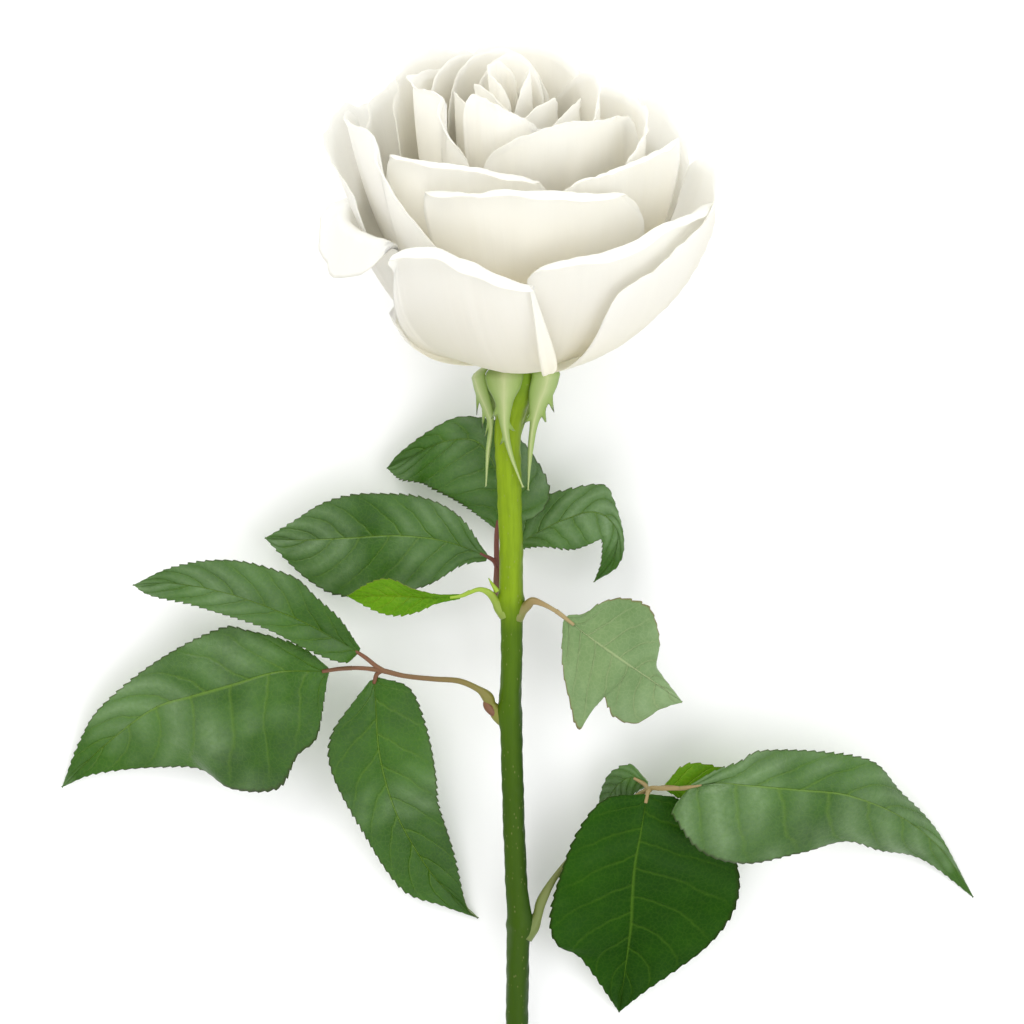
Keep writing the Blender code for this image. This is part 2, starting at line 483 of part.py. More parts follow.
def curve_of(points, count, heights):
    """Sheet points as a smooth line in space, count + 1 rows."""
    space = np.array([at_height(p[0], p[1], z / 1000) for p, z in zip(points, heights)])
    fine = spline(space, count)
    return resample(fine, fine, count)


def blade_grid(mid, left, right, nt, nh):
    """Rows along the blade, 2 * nh + 1 points across, tips pinched to a short end."""
    heights = [p[2] for p in mid]
    m = curve_of(mid, nt, heights)
    # an edge's height is the midrib's at the same share of the length, plus its own
    share = np.linspace(0, 1, len(mid))

    def edge(points):
        u = np.linspace(0, 1, len(points))
        return curve_of(points, nt, [np.interp(a, share, heights) + p[2] for a, p in zip(u, points)])

    le, ri = edge(left), edge(right)
    rows = np.zeros((nt + 1, 2 * nh + 1, 3))
    for j in range(nt + 1):
        for i in range(nh + 1):
            s = i / nh
            rows[j, nh - i] = m[j] + (le[j] - m[j]) * s
            rows[j, nh + i] = m[j] + (ri[j] - m[j]) * s
    # a blunt last row, about a millimetre wide
    across = rows[nt - 1, -1] - rows[nt - 1, 0]
    across /= max(np.linalg.norm(across), 1e-9)
    for i in range(2 * nh + 1):
        rows[nt, i] = m[nt] + across * (i / (2 * nh) - 0.5) * 0.0009
    return rows


def clear_of_stem(rows, gap):
    """Moves points out from the line of the stem to lie clear of its surface."""
    line = spline([(*at_height(x, y, z / 1000), r / 1000) for x, y, z, r in STEM], 0)
    rows = rows.copy()
    for j in range(rows.shape[0]):
        for i in range(rows.shape[1]):
            for _ in range(2):
                away = rows[j, i] - line[:, :3]
                far = np.linalg.norm(away, axis=1)
                k = int(np.argmin(far - line[:, 3]))
                lack = line[k, 3] + gap - far[k]
                if lack > 0:
                    rows[j, i] = rows[j, i] + away[k] / far[k] * lack
    return rows


# ---------------------------------------------------------------- building
for old in list(bpy.data.objects):
    bpy.data.objects.remove(old, do_unlink=True)

rose = bpy.data.collections.new("cut_rose")
helpers = bpy.data.collections.new("cutters")
bpy.context.scene.collection.children.link(rose)
bpy.context.scene.collection.children.link(helpers)


def material(name, colour, roughness):
    m = bpy.data.materials.new(name)
    m.use_nodes = True
    node = m.node_tree.nodes["Principled BSDF"]
    node.inputs["Base Color"].default_value = (*colour, 1)
    node.inputs["Roughness"].default_value = roughness
    node.inputs["Metallic"].default_value = 0.0
    m.diffuse_color = (*colour, 1)
    return m


def sheet_object(name, rows, thickness, mat):
    """A grid bent to the given rows of points and thickened evenly on both sides."""
    nv, nu = rows.shape[0] - 1, rows.shape[1] - 1
    bm = bmesh.new()
    bmesh.ops.create_grid(bm, x_segments=nu, y_segments=nv, size=0.5)
    for v in bm.verts:
        i = round((v.co.x + 0.5) * nu)
        j = round((v.co.y + 0.5) * nv)
        v.co = Vector(rows[j, i])
    mesh = bpy.data.meshes.new(name)
    bm.to_mesh(mesh)
    bm.free()
    mesh.shade_smooth()
    mesh.materials.append(mat)
    obj = bpy.data.objects.new(name, mesh)
    rose.objects.link(obj)
    solid = obj.modifiers.new("thickness", "SOLIDIFY")
    solid.thickness = thickness
    solid.offset = 0.0
    return obj


def tube_object(name, points, mat, steps, sides=2):
    """A round stalk as a bevelled curve through smooth points, made a mesh."""
    rows = [(*at_height(x, y, z / 1000), r / 1000) for x, y, z, r in points]
    fine = spline(rows, steps)
    rows = resample(fine, fine[:, :3], steps)
    data = bpy.data.curves.new(name, "CURVE")
    data.dimensions = "3D"
    line = data.splines.new("POLY")
    line.points.add(len(rows) - 1)
    for p, row in zip(line.points, rows):
        p.co = (*row[:3], 1)
        p.radius = row[3] / 0.001
    data.bevel_depth = 0.001
    data.bevel_resolution = sides
    data.use_fill_caps = True
    guide = bpy.data.objects.new(name + "_line", data)
    helpers.objects.link(guide)
    bpy.context.view_layer.update()
    graph = bpy.context.evaluated_depsgraph_get()
    mesh = bpy.data.meshes.new_from_object(guide.evaluated_get(graph))
    mesh.name = name
    bm = bmesh.new()
    bm.from_mesh(mesh)
    bmesh.ops.remove_doubles(bm, verts=bm.verts, dist=0.00001)
    bmesh.ops.recalc_face_normals(bm, faces=bm.faces)
    bm.to_mesh(mesh)
    bm.free()
    mesh.materials.clear()
    mesh.materials.append(mat)
    mesh.shade_smooth()
    obj = bpy.data.objects.new(name, mesh)
    obj.matrix_world = guide.matrix_world
    rose.objects.link(obj)
    bpy.data.objects.remove(guide, do_unlink=True)
    return obj


outer_petal = material("petal_outer", (0.90, 0.89, 0.82), 0.55)
inner_petal = material("petal_inner", (0.93, 0.89, 0.74), 0.55)
leaf_green = material("leaf", (0.05, 0.13, 0.025), 0.4)
young_green = material("young_leaf", (0.16, 0.36, 0.01), 0.45)
pale_green = material("leaf_underside", (0.28, 0.38, 0.2), 0.6)
sepal_green = material("sepal", (0.26, 0.4, 0.12), 0.6)
stem_green = material("stem", (0.1, 0.2, 0.02), 0.45)
stalk_brown = material("stalk", (0.2, 0.12, 0.05), 0.5)

parts = []
points, quads, inner = [], [], None
for k, (name, rim, claw, lean, narrow, bend, side) in reversed(list(enumerate(PETALS))):
    wide = 8 if k < 21 else 7
    grid = petal_grid(
        rim, math.radians(claw), claw_radius(k), math.radians(lean), narrow, bend,
        (math.radians(side[0]), side[1] / 1000) if side else None,
        wide, 6 if k < 28 else 5, 3 if k < 21 else 2,
    )
    grid = laid_over(grid, inner)
    more, corners = faces_of(grid)
    quads += [tuple(c + len(points) for c in q) for q in corners]
    points += more
    inner = BVHTree.FromPolygons(points, quads)
    parts.append(sheet_object(name, grid, PETAL, outer_petal if k < 12 else inner_petal))

for name, (mid, left, right) in BLADES.items():
    mat = {"leaf_c_blade": young_green, "leaf_d_blade": pale_green}.get(name, leaf_green)
    small = name in ("leaf_c_blade", "leaf_e_leaflet_3", "leaf_e_leaflet_4")
    parts.append(sheet_object(name, blade_grid(mid, left, right, 7 if small else 10, 2), LEAF, mat))

for name, (mid, left, right) in SEPALS.items():
    rows = clear_of_stem(blade_grid(mid, left, right, 8, 1), SEPAL / 2 + 2.5 * GAP)
    parts.append(sheet_object(name, rows, SEPAL, sepal_green))

for name, points in STALKS.items():
    parts.append(tube_object(name, points, stalk_brown, 14, 1))

stem = tube_object("stem", STEM, stem_green, 44, 2)
parts.append(stem)

# the slanting cut at the end of the stem
bpy.ops.mesh.primitive_cube_add(size=0.03)
knife = bpy.context.object
knife.name = "stem_cut"
for users in list(knife.users_collection):
    users.objects.unlink(knife)
helpers.objects.link(knife)
knife.rotation_euler = (CUT_SLANT, 0, 0)
turn = Matrix.Rotation(CUT_SLANT, 3, "X")
where = Vector(at_height(CUT_AT[0], CUT_AT[1], CUT_AT[2] / 1000))
knife.location = where + turn @ Vector((0, -0.015, 0))
knife.hide_render = True
knife.display_type = "WIRE"
cut = stem.modifiers.new("slanting_cut", "BOOLEAN")
cut.object = knife
cut.operation = "DIFFERENCE"

# the origin: the centre of the bottom of the whole flower's box
bpy.context.view_layer.update()
graph = bpy.context.evaluated_depsgraph_get()
low, high = np.full(3, 1e9), np.full(3, -1e9)
for obj in parts:
    shape = obj.evaluated_get(graph)
    mesh = shape.to_mesh()
    co = np.empty(len(mesh.vertices) * 3)
    mesh.vertices.foreach_get("co", co)
    co = co.reshape(-1, 3)
    low, high = np.minimum(low, co.min(axis=0)), np.maximum(high, co.max(axis=0))
    shape.to_mesh_clear()
shift = Vector((-(low[0] + high[0]) / 2, -(low[1] + high[1]) / 2, -low[2]))
print("shift", tuple(round(v, 6) for v in shift))
for obj in [*parts, knife]:
    obj.location = obj.location + shift
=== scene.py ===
"""The cut rose as it looks: fine petals, leaves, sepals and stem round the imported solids,
with their materials, a plain pale floor, soft studio light and the camera."""

import math

import bmesh
import bpy
import numpy as np
from mathutils import Matrix, Vector
from mathutils.bvhtree import BVHTree


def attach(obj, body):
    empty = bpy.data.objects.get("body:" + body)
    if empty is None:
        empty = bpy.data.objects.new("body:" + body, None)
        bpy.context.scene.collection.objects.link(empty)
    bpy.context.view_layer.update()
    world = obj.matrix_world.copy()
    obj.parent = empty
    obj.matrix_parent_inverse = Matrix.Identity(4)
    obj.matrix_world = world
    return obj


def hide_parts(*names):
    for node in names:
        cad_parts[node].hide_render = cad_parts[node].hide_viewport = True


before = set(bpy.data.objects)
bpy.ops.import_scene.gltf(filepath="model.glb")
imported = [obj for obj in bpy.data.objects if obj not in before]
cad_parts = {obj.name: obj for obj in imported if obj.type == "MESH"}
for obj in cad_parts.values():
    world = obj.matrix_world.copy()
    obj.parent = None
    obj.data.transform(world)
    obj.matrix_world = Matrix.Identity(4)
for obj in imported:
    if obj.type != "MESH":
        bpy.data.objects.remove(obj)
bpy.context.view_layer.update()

# ---------------------------------------------------------------- driving dimensions
UNIT = 0.000257          # one sheet unit
SHEET = 1024
EYE_DISTANCE = 1.40      # eye point to the middle of the sheet
EYE_TILT = math.radians(12.5)

BLOOM_BASE = (520, 357)  # where the bloom's axis meets the top of the hip, on the sheet
BASE_HEIGHT = 0.0310     # of that point above the surface
BLOOM_RISE = math.radians(19.0)   # the bloom's axis above the horizontal
BLOOM_LEAN = -0.045      # of the axis to the side
PETAL = 0.00050          # petal thickness
LEAF = 0.00045           # leaf thickness
SEPAL = 0.0006
GAP = 0.0003

CLAW_IN, CLAW_OUT = 0.0011, 0.0066   # radii of the innermost and outermost petal bases
CONE = 0.0052            # height of the cone inside the bloom that the petals stand on
FUNNEL = 0.13            # share of a straight funnel in the bowl's profile
CLEAR = 0.00142          # least distance between the middles of two petals
DENSE = 6                # points tried across each cell of a petal for that clearance
HEART = 0.036            # height of the point that the petals close round

# ---------------------------------------------------------------- layout of points
EYE_DIR = np.array([0.0, -math.sin(EYE_TILT), -math.cos(EYE_TILT)])
EYE_UP = np.array([0.0, math.cos(EYE_TILT), -math.sin(EYE_TILT)])
EYE_RIGHT = np.array([1.0, 0.0, 0.0])
EYE = -EYE_DIR * EYE_DISTANCE


def ray(px, py):
    """Direction from the eye through a place on the sheet."""
    return (
        EYE_DIR * EYE_DISTANCE
        + EYE_RIGHT * (px - SHEET / 2) * UNIT
        + EYE_UP * (SHEET / 2 - py) * UNIT
    )


def at_height(px, py, z):
    d = ray(px, py)
    return EYE + d * ((z - EYE[2]) / d[2])


BASE = at_height(*BLOOM_BASE, BASE_HEIGHT)
AXIS = np.array([BLOOM_LEAN, math.cos(BLOOM_RISE), math.sin(BLOOM_RISE)])
AXIS /= np.linalg.norm(AXIS)
FRONT = np.array([0.0, 0.0, 1.0]) - AXIS * AXIS[2]
FRONT /= np.linalg.norm(FRONT)
RIGHT = np.cross(AXIS, FRONT)


def on_bloom(phi, r, h):
    """Angle from the front (to the right), radius and height on the bloom's axis."""
    return BASE + AXIS * h + (RIGHT * math.sin(phi) + FRONT * math.cos(phi)) * r


def seen_at(px, py, r):
    """Angle, radius and height of the point seen at a place on the sheet, at radius r
    on the near side of the axis; a negative r takes the far side."""
    d = ray(px, py)
    o = EYE - BASE
    d2, o2 = d - AXIS * (d @ AXIS), o - AXIS * (o @ AXIS)
    a, b, c = d2 @ d2, 2 * d2 @ o2, o2 @ o2 - r * r
    disc = max(b * b - 4 * a * c, 0.0)
    t = (-b + (-1 if r > 0 else 1) * math.sqrt(disc)) / (2 * a)
    p = o + d * t
    h = p @ AXIS
    q = p - AXIS * h
    return math.atan2(q @ RIGHT, q @ FRONT), float(np.linalg.norm(q)), float(h)


def spline(points, count):
    """Catmull-Rom through the rows of points, evenly by length, count + 1 samples."""
    p = np.asarray(points, float)
    ends = np.vstack([2 * p[0] - p[1], p, 2 * p[-1] - p[-2]])
    fine = []
    for k in range(len(p) - 1):
        a, b, c, d = ends[k : k + 4]
        for t in np.linspace(0, 1, 16, endpoint=False):
            fine.append(
                0.5
                * (
                    2 * b
                    + (c - a) * t
                    + (2 * a - 5 * b + 4 * c - d) * t * t
                    + (3 * b - a - 3 * c + d) * t**3
                )
            )
    fine = np.array(fine + [p[-1]])
    return fine


def resample(fine, measure, count):
    """Rows of fine at even steps of the length of its measured columns."""
    step = np.linalg.norm(np.diff(measure, axis=0), axis=1)
    along = np.concatenate([[0], np.cumsum(step)])
    want = np.linspace(0, along[-1], count + 1)
    return np.column_stack([np.interp(want, along, fine[:, k]) for k in range(fine.shape[1])])


def smooth(t):
    t = min(max(t, 0.0), 1.0)
    return t * t * (3 - 2 * t)


# ---------------------------------------------------------------- petals
def petal_grid(rim, claw, claw_r, lean, narrow, bend, side, nu, nb, nr, ns=3):
    """Rows from the claw to the rolled rim, each of nu + 1 points across.

    rim    stations (angle, radius, height, roll angle, roll length)
    lean   how far round the bowl's quarter-turn the rim comes: under 90 it flares
    narrow share of the rim's spread that the claw has
    bend   share of the roll in which it turns; the rest of it is straight
    side   (roll angle, roll length) of the right margin, or None
    """
    rim = np.asarray(rim, float)
    fine = spline(rim, nu)
    mean_r = rim[:, 1].mean()
    cols = resample(fine, np.column_stack([fine[:, 0] * mean_r, fine[:, 2]]), nu)
    rows = np.zeros((nb + nr + 1, nu + 1, 3))
    r0, h0 = claw_r, 0.0005 + CONE * (1 - claw_r / (CLAW_OUT * 1.08))
    for i, (phi, rad, high, turn, length) in enumerate(cols):
        foot, wide = (claw + (phi - claw) * k for k in (min(narrow, 0.32), narrow))
        psi_e = lean
        # the roll, from its start, so that its crest comes out at the rim's height
        dr = (rad - r0) * math.cos(psi_e) / math.sin(psi_e)
        dh = (high - h0) * math.sin(psi_e) / (1 - math.cos(psi_e))
        theta0 = math.atan2(dr, dh)
        roll = [(0.0, 0.0)]
        for q in range(1, nr + 1):
            th = theta0 + turn * min(1.0, (q - 0.5) / nr / bend)
            roll.append(
                (roll[-1][0] + math.sin(th) * length / nr, roll[-1][1] + math.cos(th) * length / nr)
            )
        rise = max(b for _, b in roll)
        top = high - rise
        for j in range(nb + 1):
            psi = psi_e * j / nb
            s = math.sin(psi) / math.sin(psi_e)
            c = (1 - math.cos(psi)) / (1 - math.cos(psi_e))
            c = c * (1 - FUNNEL) + s * FUNNEL
            low = foot + (wide - foot) * smooth(s / 0.3)
            f = low + (phi - low) * (0.4 * s + 0.6 * c) ** 0.7
            rows[j, i] = f, r0 + (rad - r0) * s, h0 + (top - h0) * c
        for q in range(1, nr + 1):
            rows[nb + q, i] = phi, rad + roll[q][0], top + roll[q][1]
    grid = np.array([[on_bloom(*p) for p in row] for row in rows])
    if side:
        grid = roll_margin(grid, side[0], side[1], nb, ns)
    return grid


def roll_margin(grid, turn, length, nb, ns):
    """Adds ns columns past the last one, which fold outwards over the petal's back.  The
    fold is narrow at the rim and widest half way down."""
    rows = grid.shape[0]
    edge, before = grid[:, -1], grid[:, -2]
    extra = np.zeros((rows, ns, 3))
    for j in range(rows):
        t = edge[j] - before[j]
        t /= np.linalg.norm(t)
        up = grid[min(j + 1, rows - 1), -1] - grid[max(j - 1, 0), -1]
        n = np.cross(up, t)
        n /= max(np.linalg.norm(n), 1e-9)
        out = edge[j] - BASE
        out = out - AXIS * (out @ AXIS)
        if n @ out < 0:
            n = -n
        reach = length * (0.04 + 0.96 * smooth((j / nb - 0.28) / 0.22)) * (
            0.22 + 0.78 * smooth((1.08 - j / nb) / 0.5)
        )
        p = edge[j]
        for q in range(ns):
            a = turn * min(1.0, (q + 0.5) / ns / 0.5)
            p = p + (t * math.cos(a) + n * math.sin(a)) * reach / ns
            extra[j, q] = p
    return np.concatenate([grid, extra], axis=1)


def seen(*stations):
    """Rim stations given as (x, y, radius mm, roll degrees, roll mm) on the sheet."""
    out = []
    for px, py, r, turn, length in stations:
        phi, rad, h = seen_at(px, py, r / 1000)
        if out and phi - out[-1][0] > math.pi:
            phi -= 2 * math.pi
        if out and out[-1][0] - phi > math.pi:
            phi += 2 * math.pi
        out.append((phi, rad, h, math.radians(turn), length / 1000))
    return out


def around(*stations):
    """Rim stations given as (angle deg, radius mm, height mm, roll deg, roll mm)."""
    return [
        (math.radians(a), r / 1000, h / 1000, math.radians(turn), length / 1000)
        for a, r, h, turn, length in stations
    ]


def plain(centre, half, r, h, turn=40, length=4, twist=0.0, drop=0.16):
    """Rim of a petal that other petals hide: a rounded top, one edge further out."""
    out = []
    for u in (-1.0, -0.72, -0.36, 0.0, 0.36, 0.72, 1.0):
        out.append(
            (
                math.radians(centre + half * u),
                (r + twist * u) / 1000,
                h * (1 - drop * abs(u) ** 2.4) / 1000,
                math.radians(turn * (1 - 0.5 * abs(u))),
                length / 1000,
            )
        )
    return out


# name, rim, claw angle, lean of the bowl (deg), share of spread at the claw, bend, side
PETALS = [
    ("petal_01", around((33, 40.5, 35, 20, 3), (52, 45.5, 42, 25, 3.5), (68, 48.2, 45.5, 30, 4),
                        (82, 49.4, 49.5, 30, 4), (95, 48.6, 50, 25, 4), (108, 46, 44.5, 15, 3),
                        (120, 43.5, 39, 10, 2.5)), 52, 78, 1.6, 0.9, None),
    ("petal_02", plain(181, 48, 42, 45, 25, 5), 180, 78, 0.25, 0.9, None),
    ("petal_03", around((-118, 36, 38, 30, 4), (-104, 38, 41, 60, 6), (-94, 39.2, 43, 110, 10),
                        (-84, 39.8, 45, 140, 15), (-71, 39.8, 46.2, 150, 16),
                        (-58, 38.6, 47.2, 150, 12.5), (-49, 37.0, 47.4, 130, 8.5)), -82, 64, 0.6, 0.3, None),
    ("petal_04", seen((393, 275, 39.6, 60, 3), (402, 250, 40.4, 130, 5), (436, 246, 40.8, 150, 6),
                      (470, 259, 40.8, 150, 6.5), (505, 274, 40.3, 150, 6),
                      (531, 284, 39.4, 110, 4)), -20, 86, 1.9, 0.9, (165, 6.5)),
    ("petal_05", plain(-142, 40, 38.5, 49, 30, 4), -142, 64, 0.25, 0.9, None),
    ("petal_06", seen((523, 272, 35.6, 80, 4), (560, 256, 37.2, 110, 6), (600, 249, 39.4, 120, 7),
                      (635, 236, 42.2, 120, 7), (668, 218, 45.0, 110, 6.5), (698, 205, 46.2, 100, 4.5),
                      (716, 196, 46.0, 50, 3)), 34, 80, 0.6, 0.9, None),
    ("petal_07", plain(142, 40, 40.5, 49, 30, 4), 142, 70, 0.25, 0.9, None),
    ("petal_08", around((-68, 38.5, 50, 10, 3), (-80, 41.5, 58.5, 20, 3.5), (-97, 43.4, 62, 25, 4),
                        (-113, 43.8, 62.5, 20, 4), (-127, 41.5, 59, 20, 4),
                        (-140, 38.5, 54, 10, 4)), -97, 66, 0.5, 0.9, None),
    ("petal_09", around((92, 41.5, 47, 20, 4), (106, 43, 53.5, 25, 4), (121, 42.5, 58.5, 15, 4),
                        (136, 39, 57, 20, 4), (150, 36.5, 58, 20, 4),
                        (164, 34.5, 56, 10, 4)), 128, 70, 0.5, 0.9, None),
    ("petal_10", seen((454, 262, 34.5, 20, 3), (438, 248, 35.5, 25, 3), (419, 223, 36.2, 30, 3),
                      (397, 189, 37, 30, 3), (380, 162, 37.6, 30, 3), (368, 128, 38.6, 30, 3),
                      (360, 107, -39.2, 20, 3)), -62, 74, 0.5, 0.9, None),
    ("petal_11", plain(-172, 44, 36.5, 58, 35, 4), -172, 78, 0.3, 0.9, None),
    ("petal_12", around((-78, 32.8, 57, 15, 3), (-94, 34, 62, 25, 3.5), (-110, 34.8, 65.5, 30, 3.5),
                        (-122, 33.2, 68, 25, 3.5), (-134, 31.6, 69, 20, 3.5),
                        (-148, 31, 66, 10, 3)), -118, 76, 0.5, 0.9, None),
    ("petal_13", around((-160, 28.5, 70.5, 20, 3), (-175, 29, 71.5, 25, 3.5), (-190, 29.5, 71.5, 30, 3.5),
                        (-204, 29.8, 69.5, 30, 3.5), (-217, 31.4, 65, 25, 3.5),
                        (-230, 32.6, 61, 15, 3)), -198, 82, 0.5, 0.9, None),
    ("petal_14", seen((421, 191, 32.6, 80, 3.5), (446, 189, 32.4, 130, 4.5), (476, 191, 32, 120, 4),
                      (502, 187, 31.6, 130, 4.5), (556, 190, 31.8, 140, 5), (598, 192, 33, 140, 5),
                      (622, 194, 34.3, 90, 3.5), (645, 211, 35.8, 20, 2)), 5, 88, 0.5, 0.9, None),
    ("petal_15", seen((556, 186, 28.9, 60, 3), (588, 176, 30, 90, 4), (620, 163, 32, 100, 4.5),
                      (655, 148, 36.4, 100, 5), (682, 134, 40, 70, 4)), 55, 82, 0.5, 0.9, None),
    ("petal_16", seen((384, 151, 34, 60, 3), (406, 154, 32.0, 90, 4), (440, 160, 29.4, 110, 5),
                      (480, 166, 27.2, 110, 5), (520, 173, 26.2, 110, 4.5),
                      (554, 186, 26.2, 50, 3)), -32, 88, 0.5, 0.9, None),
    ("petal_17", around((-92, 27, 66, 15, 3), (-108, 28, 72.5, 20, 3), (-124, 27.6, 77, 25, 3),
                        (-140, 26.4, 76, 20, 3), (-156, 25.6, 74, 20, 3),
                        (-172, 25, 72, 10, 3)), -132, 86, 0.5, 0.9, None),
    ("petal_18", around((56, 32.0, 63, 20, 3), (76, 33.2, 65.5, 30, 3), (96, 33.2, 65.5, 30, 3),
                        (116, 30.8, 65.5, 30, 3), (136, 28.6, 66, 20, 3)), 98, 84, 0.5, 0.9, None),
    ("petal_19", seen((474, 160, 21.4, 30, 2.5), (455, 139, 22.0, 50, 2.5), (441, 113, 22.4, 60, 3),
                      (438, 90, 22.4, 55, 3), (446, 68, -22.6, 40, 2.5), (462, 54, -22.4, 20, 2)),
     -88, 90, 0.4, 0.9, None),
    ("petal_20", plain(172, 52, 24.0, 75.5, 30, 3), 172, 90, 0.4, 0.9, None),
    ("petal_21", seen((480, 158, 19.4, 25, 2.5), (515, 138, 19.2, 40, 3), (553, 123, 20.2, 60, 3),
                      (590, 118, 23, 70, 3.5), (620, 117, 26.6, 70, 3.5),
                      (641, 125, 28.6, 50, 2.5)), 20, 90, 0.4, 0.9, None),
    ("petal_22", plain(100, 54, 22.4, 74, 30, 2.5, 1.0, 0.2), 100, 92, 0.4, 0.9, None),
    ("petal_23", plain(-140, 58, 19.4, 76.5, 20, 2, -0.8, 0.2), -140, 94, 0.4, 0.9, None),
    ("petal_24", seen((462, 104, 16.8, 15, 1.5), (470, 94, 16.4, 20, 2), (486, 98, 16.4, 25, 2),
                      (508, 110, 15.6, 25, 2), (542, 126, 15.0, 15, 2)), -30, 96, 0.6, 0.9, None),
    ("petal_25", plain(66, 56, 16.8, 73.5, 35, 2.5, 0.8, 0.24), 66, 96, 0.45, 0.9, None),
    ("petal_26", plain(-168, 66, 14.8, 78.5, 20, 2, 0.6, 0.2), -168, 98, 0.45, 0.9, None),
    ("petal_27", plain(-70, 66, 12.4, 76, 20, 1.8, -0.6, 0.22), -70, 98, 0.45, 0.9, None),
    ("petal_28", plain(50, 66, 11.6, 75, 30, 2.0, 0.6, 0.22), 50, 98, 0.5, 0.9, None),
    ("petal_29", plain(168, 76, 9.6, 79.5, 20, 1.6, 0.5, 0.2), 168, 100, 0.5, 0.9, None),
    ("petal_30", plain(-50, 84, 7.8, 78.5, 15, 1.4, 0.5, 0.2), -50, 100, 0.55, 0.9, None),
    ("petal_31", plain(84, 92, 5.9, 79.5, 15, 1.2, 0.5, 0.2), 84, 100, 0.6, 0.9, None),
    ("petal_32", plain(-110, 124, 4.0, 81, 10, 1.0, 0.7, 0.06), -150, 98, 0.55, 0.9, None),
]


def claw_radius(k):
    """Bases stand on a spiral, the outermost petal's furthest from the axis."""
    return CLAW_OUT + (CLAW_IN - CLAW_OUT) * k / (len(PETALS) - 1)


def laid_over(grid, inner, dense=DENSE, clear=CLEAR, rounds=3):
    """Moves a petal's points out from the heart of the bloom until they lie clear of the
    petals inside it.  inner is a tree of those petals' faces."""
    if inner is None:
        return grid
    heart = BASE + AXIS * HEART
    nv, nu = grid.shape[0] - 1, grid.shape[1] - 1
    away = grid - heart
    away = away / np.linalg.norm(away, axis=2)[..., None]
    need = np.zeros(grid.shape[:2])
    for jj in range(nv * dense + 1):
        for ii in range(nu * dense + 1):
            j, i = min(jj // dense, nv - 1), min(ii // dense, nu - 1)
            v, u = jj / dense - j, ii / dense - i
            p = (grid[j, i] * (1 - u) + grid[j, i + 1] * u) * (1 - v) + (
                grid[j + 1, i] * (1 - u) + grid[j + 1, i + 1] * u
            ) * v
            line = p - heart
            far = np.linalg.norm(line)
            line /= far
            hit = inner.ray_cast(Vector(heart + line * 0.14), Vector(-line), 0.139)[0]
            if hit is None:
                continue
            lack = (np.array(hit) - heart) @ line + clear - far
            if lack > 0:
                # every corner that carries this point, or would at the edge of a petal
                for b in range(max(0, round(j + v - 0.5)), min(nv, round(j + v + 0.5)) + 1):
                    for a in range(max(0, round(i + u - 0.7)), min(nu, round(i + u + 0.7)) + 1):
                        need[b, a] = max(need[b, a], lack)
    need[0] = np.minimum(need[0], 0.0005)
    push = need.copy()
    for _ in range(rounds):
        wide = np.pad(push, 1, mode="edge")
        mean = (wide[:-2, 1:-1] + wide[2:, 1:-1] + wide[1:-1, :-2] + wide[1:-1, 2:]) / 4
        push = np.maximum(need, 0.5 * push + 0.5 * mean)
    push[0] = np.minimum(push[0], 0.0005)
    return grid + away * push[..., None]


def faces_of(grid):
    """Corner points and quads of a grid of rows."""
    nv, nu = grid.shape[:2]
    quads = [
        (j * nu + i, j * nu + i + 1, (j + 1) * nu + i + 1, (j + 1) * nu + i)
        for j in range(nv - 1)
        for i in range(nu - 1)
    ]
    return [Vector(p) for p in grid.reshape(-1, 3)], quads


